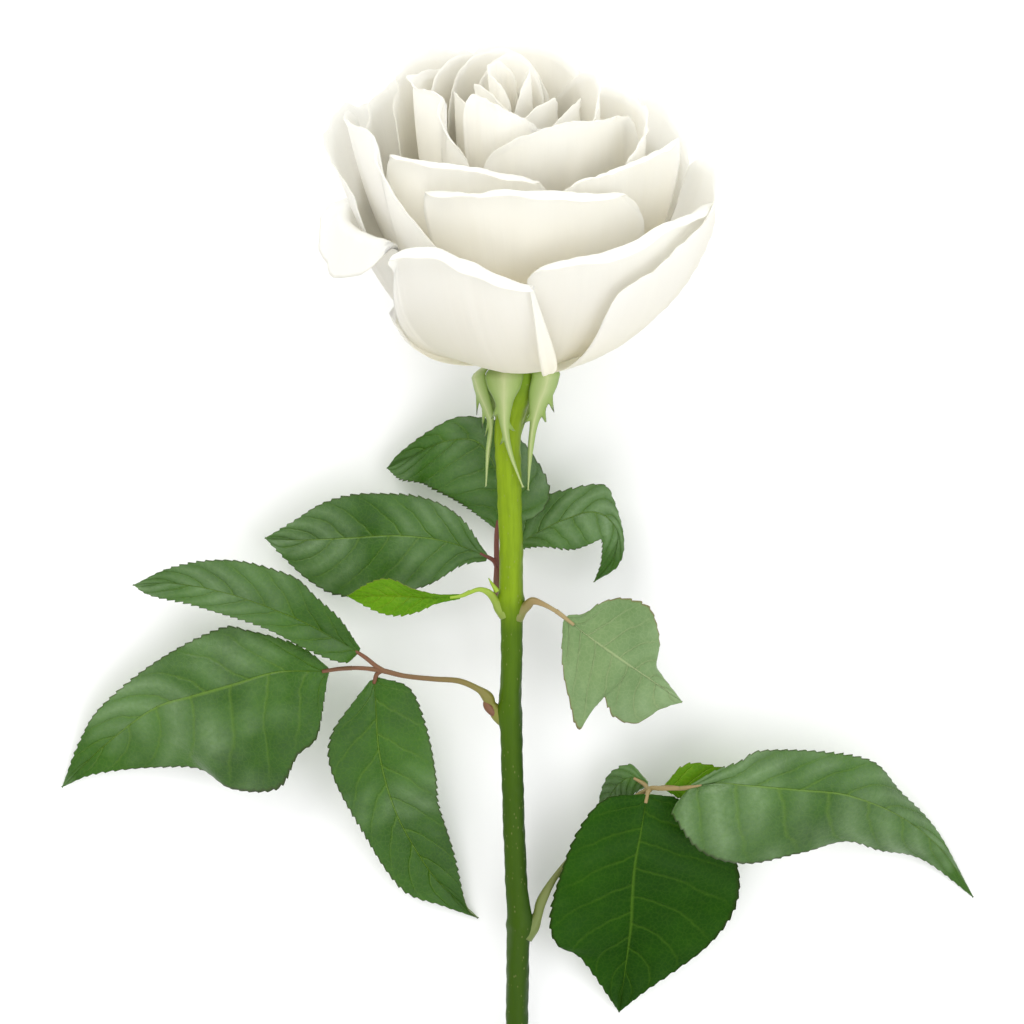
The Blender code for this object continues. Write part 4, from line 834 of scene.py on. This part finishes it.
def closed_sheet(name, front, back, slots, uvs=None):
    """A closed thin body between two grids of points, with a map across and along it.
    Slot 0 faces front, slot 1 faces back."""
    rows, cols = front.shape[:2]
    n = rows * cols
    co = np.concatenate([front.reshape(-1, 3), back.reshape(-1, 3)]) + np.array(SHIFT)
    idx = np.arange(n).reshape(rows, cols)
    a, b, c, d = idx[:-1, :-1], idx[:-1, 1:], idx[1:, 1:], idx[1:, :-1]
    top = np.stack([a, b, c, d], -1).reshape(-1, 4)
    low = np.stack([a, d, c, b], -1).reshape(-1, 4) + n
    ring = np.concatenate([idx[0, :], idx[1:, -1], idx[-1, -2::-1], idx[-2:0:-1, 0]])
    nxt = np.roll(ring, -1)
    rim = np.stack([nxt, ring, ring + n, nxt + n], -1)
    faces = np.concatenate([top, low, rim])
    mesh = bpy.data.meshes.new(name)
    mesh.from_pydata(co.tolist(), [], faces.tolist())
    u = np.tile(np.linspace(0, 1, cols), rows)
    v = np.repeat(np.linspace(0, 1, rows), cols)
    if uvs is not None:
        u, v = uvs[..., 0].reshape(-1), uvs[..., 1].reshape(-1)
    uv = np.tile(np.stack([u, v], -1), (2, 1))
    layer = mesh.uv_layers.new(name="UVMap")
    layer.data.foreach_set("uv", uv[faces.reshape(-1)].astype(np.float32).reshape(-1))
    index = np.zeros(len(faces), np.int32)
    index[len(top) : len(top) + len(low)] = 1
    index[len(top) + len(low) :] = 1 if len(slots) < 3 else 2
    for mat in slots:
        mesh.materials.append(mat)
    mesh.polygons.foreach_set("material_index", index)
    mesh.shade_smooth()
    mesh.update()
    obj = bpy.data.objects.new(name, mesh)
    bpy.context.scene.collection.objects.link(obj)
    return obj


def normals_of(grid):
    du, dv = np.gradient(grid, axis=1), np.gradient(grid, axis=0)
    n = np.cross(du, dv)
    size = np.linalg.norm(n, axis=2, keepdims=True)
    n = n / np.maximum(size, 1e-12)
    return n


def waves(rng, x, count, low, high):
    """A sum of sines of random phase, between low and high turns across x."""
    total = np.zeros_like(x)
    for f in np.linspace(low, high, count):
        total += np.sin(2 * np.pi * (f * x + rng.rand())) * (low / f) ** 0.6 * (0.6 + 0.8 * rng.rand())
    return total / math.sqrt(count)


def ease(t):
    t = np.clip(t, 0, 1)
    return t * t * (3 - 2 * t)


def blurred(a, rounds):
    for _ in range(rounds):
        p = np.pad(a, ((1, 1), (1, 1)) + ((0, 0),) * (a.ndim - 2), mode="edge")
        a = 0.5 * a + 0.125 * (p[:-2, 1:-1] + p[2:, 1:-1] + p[1:-1, :-2] + p[1:-1, 2:])
    return a


# ---------------------------------------------------------------- petals
RUFFLE = {  # ruffle mm, rim outline mm, number of outline waves
    "petal_01": (1.0, 1.3, 7), "petal_02": (0.9, 0.9, 4), "petal_03": (0.5, 0.5, 3),
    "petal_04": (0.45, 0.5, 3), "petal_06": (0.6, 0.6, 3), "petal_08": (0.7, 1.0, 5),
    "petal_09": (0.8, 1.1, 5), "petal_10": (0.6, 0.5, 3), "petal_14": (0.45, 0.55, 3),
    "petal_16": (0.45, 0.55, 3), "petal_15": (0.45, 0.5, 3), "petal_21": (0.4, 0.45, 3),
    "petal_17": (0.9, 1.0, 4), "petal_13": (0.9, 1.1, 5), "petal_12": (0.9, 0.9, 4),
}


def fine_petals():
    nu, nb, nr = ((52, 36, 14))
    inner, points, quads = None, [], []
    heart = BASE + AXIS * HEART
    made = []
    for k, (name, rim, claw, lean, narrow, bend, side) in reversed(list(enumerate(PETALS))):
        rng = np.random.RandomState(40 + k)
        grid = petal_grid(
            rim, math.radians(claw), claw_radius(k), math.radians(lean), narrow, bend,
            (math.radians(side[0]), side[1] / 1000) if side else None, nu, nb, nr, 8,
        )
        rows, cols = grid.shape[:2]
        u, v = np.meshgrid(np.linspace(0, 1, cols), np.linspace(0, 1, rows))
        ruffle, outline, count = RUFFLE.get(name, (0.6 if k < 20 else 0.35, 0.7 if k < 20 else 0.4, 4))
        n = normals_of(grid)
        t = np.gradient(grid, axis=0)
        t /= np.linalg.norm(t, axis=2, keepdims=True)
        push = waves(rng, u, 5, 1.5, 6.5) * ruffle / 1000 * ease((v - 0.45) / 0.55) ** 1.4
        push += waves(rng, u + 0.04 * v, 6, 7, 19) * 0.00014 * ease(v / 0.5) * (1 - 0.5 * v)
        push += waves(rng, u + 0.1 * v, 3, 0.6, 1.8) * 0.0005 * ease(v / 0.4) * ease((0.9 - v) / 0.4)
        push += waves(rng, u, 7, 9, 24) * 0.00016 * ease((v - 0.72) / 0.28)
        slip = waves(rng, u, 5, count * 0.6, count * 2.2) * outline / 1000 * ease((v - 0.6) / 0.4) ** 2
        # the corners between the rim and the margins are rounded
        rim_row = grid[min(nb, rows - 1)]
        along = np.concatenate([[0], np.cumsum(np.linalg.norm(np.diff(rim_row, axis=0), axis=1))])
        near = np.minimum(along, 1.0 if side else along[-1] - along)
        turn = min(0.0075 if k < 20 else 0.006, 0.22 * along[-1])
        q = np.clip(1 - near / turn, 0, 1)[None]
        cut = turn * (1 - np.sqrt(1 - q[0] ** 2 * 0.999))
        grid = grid + n * push[..., None] + t * slip[..., None]
        for i in range(cols):
            along = np.concatenate([[0], np.cumsum(np.linalg.norm(np.diff(grid[:, i], axis=0), axis=1))])
            want = along * (1 - cut[i] / along[-1])
            grid[:, i] = np.stack([np.interp(want, along, grid[:, i, c]) for c in range(3)], -1)
        if name == "petal_02":
            grid[..., 2] -= 0.0013 * ease((v - 0.25) / 0.5)
        grid = laid_over(grid, inner, 1, 0.00085, 14)
        more, corners = faces_of(grid)
        quads += [tuple(c + len(points) for c in q) for q in corners]
        points += more
        inner = BVHTree.FromPolygons(points, quads)
        n = blurred(normals_of(grid), 2)
        n /= np.linalg.norm(n, axis=2, keepdims=True)
        if (n * (grid - heart)).sum() < 0:
            n = -n
            flip = True
        else:
            flip = False
        thick = 0.00034 * (0.35 + 0.65 * ease(np.minimum(1 - v, np.minimum(u, 1 - u) + v * 0) / 0.08 + 0.15))
        outside = grid + n * thick[..., None] / 2
        inside = grid - n * thick[..., None] / 2
        mats = (PETAL_OUT, PETAL_IN) if k < 12 else (CORE_OUT, CORE_IN)
        if flip:
            obj = closed_sheet(name + "_fine", inside, outside, (mats[1], mats[0]))
        else:
            obj = closed_sheet(name + "_fine", outside, inside, mats)
        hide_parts(name)
        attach(obj, "root")
        made.append(obj)
    return made


# ---------------------------------------------------------------- leaves
def fine_blade(name, mid, left, right, mats, cup=0.035, tooth=0.0007, pitch=0.0023, thick=0.0003, seed=1, depth=0.00016, count=8.0):
    rng = np.random.RandomState(seed)
    length = 0.001 * sum(
        math.dist((a[0] * 0.257, a[1] * 0.257), (b[0] * 0.257, b[1] * 0.257)) for a, b in zip(mid, mid[1:])
    )
    teeth = max(8, round(length * 1.12 / pitch))
    nt = teeth * 6
    nh = 16
    heights = [p[2] for p in mid]
    m = curve_of(mid, nt, heights)
    share = np.linspace(0, 1, len(mid))

    def edge(points):
        uu = np.linspace(0, 1, len(points))
        return curve_of(points, nt, [np.interp(a, share, heights) + p[2] for a, p in zip(uu, points)])

    le, ri = edge(left), edge(right)
    v = np.linspace(0, 1, nt + 1)
    s = np.linspace(-1, 1, 2 * nh + 1)
    # columns crowd towards the edge, where the teeth are
    s = np.sign(s) * (1 - (1 - np.abs(s)) ** 1.25)
    a = np.abs(s)[None, :, None]
    e = np.where(s[None, :, None] < 0, le[:, None], ri[:, None])
    grid = m[:, None] + (e - m[:, None]) * a
    reach = np.linalg.norm(e - m[:, None], axis=2)
    n = normals_of(grid)
    n = blurred(n, 6)
    n /= np.maximum(np.linalg.norm(n, axis=2, keepdims=True), 1e-9)
    # seen from above the upper face is the one whose normal points up
    up = 1.0 if n[..., 2].mean() > 0 else -1.0
    n = n * up
    vv, ss = np.meshgrid(v, s, indexing="ij")
    aa = np.abs(ss)
    # side veins as shallow furrows, the tissue between them swelling a little
    wav = 0.02 * np.sin(6.3 * (vv * 2 + 0.3 * seed)) * 0
    at = vv + wav - 0.20 * aa**1.15
    phase = (at * count + np.where(ss > 0, 0.45, 0.0)) % 1.0
    off = np.abs(phase - 0.5)
    furrow = np.exp(-((off / 0.07) ** 2)) * (1 - aa**3)
    rib = np.exp(-((aa / 0.06) ** 2))
    swell = np.sin(np.pi * np.clip(off * 2, 0, 1) * 0.5 + 0) * np.sin(np.pi * aa)
    size = np.minimum(reach / 0.012, 1.0)
    wave = waves(rng, vv, 4, 1.2, 4.5) * 0.0009 * aa**2.2 * size * np.sign(ss + 1e-9) ** 0
    wave += waves(rng, vv + 0.3 * ss, 4, 1.0, 3.0) * 0.0004 * size
    lift = (
        cup * reach * np.sin(np.pi * aa) * size
        - depth * (1.1 * furrow + 1.6 * rib) * size
        + depth * 1.2 * swell * size
        + wave
    )
    grid = grid + n * lift[..., None]
    # teeth that point to the tip
    along = np.gradient(grid, axis=0)
    along /= np.maximum(np.linalg.norm(along, axis=2, keepdims=True), 1e-9)
    out = (e - m[:, None]) / np.maximum(reach, 1e-6)[..., None]
    saw = (vv * teeth + 0.15 * np.sin(9 * vv + seed)) % 1.0
    rise = np.where(saw < 0.8, saw / 0.8, (1 - saw) / 0.2)
    big = tooth * (0.75 + 0.5 * np.sin(23 * vv + 3 * seed) * 0.5) * ease(vv / 0.06) * ease((1 - vv) / 0.03)
    fall = aa**7 * np.minimum(reach / 0.004, 1.0)
    grid = grid + out * ((rise - 0.6) * big * fall)[..., None] + along * (rise * big * 0.7 * fall)[..., None]
    # a short blunt tip
    across = grid[nt - 3, -1] - grid[nt - 3, 0]
    across /= max(np.linalg.norm(across), 1e-9)
    for i, q in enumerate(s):
        grid[nt, i] = m[nt] + across * q * 0.00025
    t = thick * (0.5 + 0.5 * ease((1 - aa) / 0.1)) + 0.0005 * rib * (1 - 0.7 * vv) * ease(vv / 0.02 + 0.4)
    n2 = blurred(normals_of(grid) * up, 1)
    n2 /= np.maximum(np.linalg.norm(n2, axis=2, keepdims=True), 1e-9)
    upper = grid + n2 * (thick / 2)
    lower = grid - n2 * (t - thick / 2)[..., None]
    low_z = 0.0004 - SHIFT[2]
    upper[..., 2] = np.maximum(upper[..., 2], low_z + 0.0002)
    lower[..., 2] = np.maximum(lower[..., 2], low_z)
    uv = np.stack([(ss + 1) / 2, vv], -1)
    if up > 0:
        obj = closed_sheet(name + "_fine", upper, lower, (mats[0], mats[1]), uv)
    else:
        obj = closed_sheet(name + "_fine", lower, upper, (mats[1], mats[0]), uv)
    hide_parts(name)
    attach(obj, "root")
    return obj


def fine_sepals():
    for k, (name, (mid, left, right)) in enumerate(SEPALS.items()):
        nt, nh = 60, 6
        rows = blade_grid(mid, left, right, nt, nh)
        s = np.linspace(-1, 1, 2 * nh + 1)
        v = np.linspace(0, 1, nt + 1)
        vv, ss = np.meshgrid(v, s, indexing="ij")
        aa = np.abs(ss)
        out = np.where(ss[..., None] < 0, rows[:, :1] - rows[:, nh : nh + 1], rows[:, -1:] - rows[:, nh : nh + 1])
        size = np.maximum(np.linalg.norm(out, axis=2, keepdims=True), 1e-6)
        along = np.gradient(rows, axis=0)
        along /= np.maximum(np.linalg.norm(along, axis=2, keepdims=True), 1e-9)
        # narrow lobes stand out from the edges and point to the tip
        lobes = np.zeros_like(vv)
        for at, wide, high, which in SPURS[k % len(SPURS)]:
            lobes += np.exp(-(((vv - at) / wide) ** 2)) * high * (np.sign(ss) == which) * aa**6
        rows = rows + out / size * (lobes * 0.001)[..., None] + along * (lobes * 0.0012)[..., None]
        n = normals_of(rows)
        away = rows - np.array(stem_point_near(rows[nt // 4, nh]))
        if (n * away).sum() < 0:
            n = -n
            flip = True
        else:
            flip = False
        bow = 0.0007 * (1 - aa**2) * (1 - vv) ** 0.7
        rows = rows + n * bow[..., None]
        rows = clear_of_stem(rows, 0.00055)
        # the top edge bends in and joins the hip
        hip = at_height(519.5, 362, 0.0290)
        first = rows[0]
        lead = []
        for q in (1.0, 0.72, 0.4):
            inward = hip - first
            inward /= np.linalg.norm(inward, axis=1, keepdims=True)
            lead.append(first + (first - rows[3]) * 1.1 * q**0.8 + inward * 0.0030 * q**1.6)
        rows = np.concatenate([np.array(lead), rows])
        n = normals_of(rows) * (-1 if flip else 1)
        aa = np.abs(np.tile(s, (len(rows), 1)))
        t = 0.0005 * (0.4 + 0.6 * (1 - aa**2))
        outer, inward = rows + n * t[..., None] / 2, rows - n * t[..., None] / 2
        if flip:
            obj = closed_sheet(name + "_fine", inward, outer, (SEPAL_SKIN, SEPAL_SKIN))
        else:
            obj = closed_sheet(name + "_fine", outer, inward, (SEPAL_SKIN, SEPAL_SKIN))
        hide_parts(name)
        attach(obj, "root")


def stem_point_near(p):
    line = np.array([at_height(x, y, z / 1000) for x, y, z, r in STEM])
    return line[np.argmin(np.linalg.norm(line - p, axis=1))]


SPURS = [  # place along, width, length mm, side
    [(0.30, 0.018, 2.0, 1), (0.44, 0.016, 1.8, -1), (0.55, 0.014, 1.4, 1)],
    [(0.22, 0.018, 3.2, -1), (0.34, 0.018, 2.4, -1), (0.40, 0.016, 2.0, 1)],
    [(0.18, 0.018, 3.4, 1), (0.32, 0.016, 3.0, 1), (0.44, 0.016, 2.0, 1)],
    [(0.30, 0.018, 2.2, 1), (0.45, 0.016, 2.0, -1)],
    [(0.25, 0.018, 2.4, -1), (0.40, 0.016, 2.0, 1)],
]


# ---------------------------------------------------------------- stem and stalks
def tube_mesh(rows, sides, swell=None, end_plane=None):
    """Points, faces, map and face kinds (0 side, 1 end) of a round tube through rows of
    (point, radius)."""
    rows = np.asarray(rows, float)
    count = len(rows)
    t = np.gradient(rows[:, :3], axis=0)
    t /= np.linalg.norm(t, axis=1, keepdims=True)
    a = np.cross(t, np.array([0.0, 0.0, 1.0]))
    a /= np.linalg.norm(a, axis=1, keepdims=True)
    b = np.cross(a, t)
    ang = np.linspace(0, 2 * np.pi, sides, endpoint=False)
    r = rows[:, 3][:, None] * np.ones(sides)[None]
    if swell is not None:
        r = r + swell(np.linspace(0, 1, count)[:, None], ang[None, :], rows)
    ring = rows[:, None, :3] + (
        a[:, None] * np.cos(ang)[None, :, None] + b[:, None] * np.sin(ang)[None, :, None]
    ) * r[..., None]
    if end_plane is not None:
        point, normal = end_plane
        # rings past the slanting plane are drawn back along the stem onto it
        for i in range(count):
            d = (ring[i] - point) @ normal
            over = d > 0
            ring[i][over] = ring[i][over] - t[i] * (d[over] / (t[i] @ normal))[:, None]
    faces, uvs, index = [], [], []
    co = ring.reshape(-1, 3).tolist()
    v = np.linspace(0, 1, count)
    for i in range(count - 1):
        for j in range(sides):
            k = (j + 1) % sides
            faces.append((i * sides + j, i * sides + k, (i + 1) * sides + k, (i + 1) * sides + j))
            uvs += [(j / sides, v[i]), ((j + 1) / sides, v[i]), ((j + 1) / sides, v[i + 1]), (j / sides, v[i + 1])]
            index.append(0)
    for end, last in ((0, False), (count - 1, True)):
        mid = ring[end].mean(axis=0)
        before = end * sides
        outer = 1.0
        for share in (0.8, 0.5, 0.2):
            start = len(co)
            co += (mid + (ring[end] - mid) * share).tolist()
            for j in range(sides):
                k = (j + 1) % sides
                quad, rim = (before + j, before + k, start + k, start + j), [outer, outer, share, share]
                if not last:
                    quad, rim = quad[::-1], rim[::-1]
                faces.append(quad)
                uvs += [(j / sides, w) for w in rim]
                index.append(1)
            before, outer = start, share
        faces.append(tuple(before + j for j in (range(sides) if last else range(sides - 1, -1, -1))))
        uvs += [(0.5, 0.1)] * sides
        index.append(1)
    return co, faces, uvs, index


def tubes(name, parts, mats):
    """One object from the tubes of parts, faces outwards."""
    co, faces, uvs, index = [], [], [], []
    for c, f, u, i in parts:
        faces += [tuple(q + len(co) for q in face) for face in f]
        co += c
        uvs += u
        index += i
    co = np.array(co) + np.array(SHIFT)
    mesh = bpy.data.meshes.new(name)
    mesh.from_pydata(co.tolist(), [], faces)
    layer = mesh.uv_layers.new(name="UVMap")
    layer.data.foreach_set("uv", np.array(uvs, np.float32).reshape(-1))
    for mat in mats:
        mesh.materials.append(mat)
    mesh.polygons.foreach_set("material_index", np.array(index, np.int32))
    bm = bmesh.new()
    bm.from_mesh(mesh)
    bmesh.ops.recalc_face_normals(bm, faces=bm.faces)
    bm.to_mesh(mesh)
    bm.free()
    mesh.shade_smooth()
    mesh.update()
    obj = bpy.data.objects.new(name, mesh)
    bpy.context.scene.collection.objects.link(obj)
    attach(obj, "root")
    return obj


def rows_of(points, count):
    rows = [(*at_height(x, y, z / 1000), r / 1000) for x, y, z, r in points]
    fine = spline(rows, count)
    return resample(fine, fine[:, :3], count)


def fine_stem():
    rows = rows_of(STEM, 460)
    point = at_height(CUT_AT[0], CUT_AT[1], CUT_AT[2] / 1000)
    normal = np.array(Matrix.Rotation(CUT_SLANT, 3, "X") @ Vector((0, -1, 0)))
    # drop the rings that lie wholly beyond the cut
    keep = [(row[:3] - point) @ normal < row[3] * 1.3 for row in rows]
    rows = rows[: len(rows) - keep[::-1].index(True)]

    def swell(v, ang, rows):
        out = 0.00006 * np.sin(5 * ang + 40 * v) + 0.00005 * np.sin(3 * ang - 90 * v)
        out = out + 0.00008 * np.sin(300 * v + 2 * np.sin(ang * 2)) * np.sin(60 * v)
        return out

    part = tube_mesh(rows, 48, swell, (point, normal))
    obj = tubes("stem_fine", [part], (STEM_SKIN, CUT_FACE))
    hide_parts("stem")
    return obj


TWIGS = {  # short stalks of the leaflets, and the last bit of each leaf's own
    "leaf_a_stalk": [
        [(352, 668, 18, 0.75), (338, 669, 17.8, 0.7), (322, 671.5, 17.9, 0.6)],
        [(386, 672, 19, 0.8), (376, 666, 19, 0.75), (366, 658, 19.1, 0.7), (354, 650, 19.2, 0.5)],
        [(383, 670, 18.9, 0.8), (377, 674, 18, 0.75), (374, 683, 17.1, 0.6)],
        [(485.5, 697, 18.6, 0.3), (487, 705, 18.6, 1.3), (493, 712, 18.3, 1.4), (502, 718, 18, 0.7)],
    ],
    "leaf_b_stalk": [
        [(496.5, 540, 14.4, 0.8), (496.8, 530, 14.5, 0.7), (498, 520, 14.5, 0.5)],
        [(497, 566, 14.5, 0.9), (493, 560, 15, 0.75), (480, 553, 15.6, 0.5)],
        [(497, 568, 14.5, 0.9), (502, 558, 13, 0.75), (513, 547, 11, 0.5)],
    ],
    "leaf_c_stalk": [
        [(470, 592, 25.7, 0.75), (462, 595.6, 25.5, 0.65), (450, 597.5, 25.3, 0.5)],
        [(488.5, 578, 24, 0.12), (491.5, 583, 24, 0.45), (497, 591, 23.6, 0.9)],
    ],
    "leaf_d_stalk": [[(556, 611, 24.2, 0.8), (564, 617, 24, 0.7), (574, 625, 24.9, 0.5)]],
    "leaf_e_stalk": [
        [(680, 788.5, 19, 0.75), (690, 787.4, 20, 0.7), (702, 785.5, 21, 0.5)],
        [(650, 789.5, 14.8, 0.85), (648, 792, 16, 0.8), (645.5, 803, 16.7, 0.6)],
        [(648, 789.5, 14.6, 0.8), (644, 784, 13.6, 0.7), (634, 778, 12.7, 0.5)],
        [(658, 788.5, 16, 0.8), (666, 787, 13.8, 0.7), (678, 786.5, 13.2, 0.5)],
    ],
}


FEET = {  # where each stalk's foot lies in the stem
    "leaf_a_stalk": [(505, 719, 17.6, 2.3), (498, 713, 17.5, 2.1)],
    "leaf_b_stalk": [(507, 612, 19.2, 2.6), (503, 602, 17.2, 2.1)],
    "leaf_c_stalk": [(506, 613, 21.0, 2.2), (500, 607, 21.6, 1.7)],
    "leaf_d_stalk": [(516, 616, 20.8, 2.2), (521, 610, 21.4, 1.7)],
    "leaf_e_stalk": [(524, 934, 12.0, 2.8), (532, 925, 12.2, 2.2)],
}


def fine_stalks():
    skins = {"leaf_a_stalk": STALK_A, "leaf_b_stalk": STALK_B, "leaf_c_stalk": STALK_C,
             "leaf_d_stalk": STALK_D, "leaf_e_stalk": STALK_E}

    def groove(v, ang, rows):
        return -0.16 * rows[:, 3:4] * np.exp(-(((ang - np.pi / 2) / 0.5) ** 2)) * (v > 0.1)

    for name, points in STALKS.items():
        # the stalk's foot widens into the stem
        thin = [*points[:2], *((x, y, z, r * 0.74) for x, y, z, r in points[2:])]
        parts = [tube_mesh(rows_of([*FEET[name], *thin], 110), 20, groove)]
        for twig in TWIGS[name]:
            parts.append(tube_mesh(rows_of([(x, y, z, r * 0.8) for x, y, z, r in twig], 26), 14))
        for c, f, u, i in parts[1:]:
            u[:] = [(x, 0.8 + 0.2 * y) for x, y in u]
        obj = tubes(name + "_fine", parts, (skins[name], skins[name]))
        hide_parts(name)


made = fine_petals()
fine_sepals()
fine_stem()
fine_stalks()
for q, (name, (mid, left, right)) in enumerate(BLADES.items()):
    mats, slot = (DEEP_TOP if name == "leaf_e_leaflet_1" else LEAF_TOP, LEAF_BACK), "leaf"
    if name == "leaf_c_blade":
        mats, slot = (BRIGHT_TOP, BRIGHT_BACK), "young_leaf"
    if name == "leaf_d_blade":
        mats, slot = (PALE_TOP, LEAF_TOP), "leaf_underside"
    if name == "leaf_e_leaflet_4":
        mats = (BRIGHT_TOP, BRIGHT_BACK)
    fine_blade(name, mid, left, right, mats, seed=q + 1)

# ---------------------------------------------------------------- stage, camera, light
def stage_floor():
    """A wide pale floor in one piece."""
    bm = bmesh.new()
    bmesh.ops.create_grid(bm, x_segments=8, y_segments=8, size=3.0)
    mesh = bpy.data.meshes.new("floor")
    bm.to_mesh(mesh)
    bm.free()
    n = Nodes("floor_paint")
    grain = n.noise(n.object_point(), 400.0, 3.0)
    colour = n.mix(n.math("MULTIPLY", grain, 0.15), lin(250, 250, 250), lin(246, 246, 246))
    mesh.materials.append(n.finish(colour, 0.8, None, Specular_IOR_Level=0.1))
    obj = bpy.data.objects.new("floor", mesh)
    obj.location = (0, 0, -0.0002)
    bpy.context.scene.collection.objects.link(obj)


stage_floor()

cam = bpy.data.cameras.new("camera")
cam.sensor_width = 36.0
cam.lens = 18.0 / (SHEET / 2 * UNIT / EYE_DISTANCE)
cam.clip_start, cam.clip_end = 0.01, 50
camera = bpy.data.objects.new("camera", cam)
camera.location = Vector(EYE) + SHIFT
camera.rotation_euler = (-EYE_TILT, 0, 0)
bpy.context.scene.collection.objects.link(camera)
bpy.context.scene.camera = camera


def area(name, place, aim, size, power, colour=(1, 1, 1)):
    data = bpy.data.lights.new(name, "AREA")
    data.shape = "RECTANGLE"
    data.size, data.size_y = size
    data.energy = power
    data.color = colour
    obj = bpy.data.objects.new(name, data)
    obj.location = place
    obj.rotation_euler = (Vector(aim) - Vector(place)).to_track_quat("-Z", "Y").to_euler()
    bpy.context.scene.collection.objects.link(obj)


area("key", (-0.7, 1.3, 1.2), (0, 0.06, 0.03), (0.9, 0.9), 13, (1.0, 0.99, 0.98))
area("fill", (1.3, 0.1, 1.4), (0, 0, 0.03), (1.4, 1.4), 12, (0.97, 0.985, 1.0))
area("front", (0.0, -1.1, 1.5), (0, 0.06, 0.03), (1.4, 1.0), 5)

world = bpy.data.worlds.new("studio")
world.use_nodes = True
bg = world.node_tree.nodes["Background"]
bg.inputs[0].default_value = (1, 1, 1, 1)
bg.inputs[1].default_value = 0.93
bpy.context.scene.world = world
bpy.context.scene.view_settings.view_transform = "Standard"
bpy.context.scene.view_settings.look = "None"

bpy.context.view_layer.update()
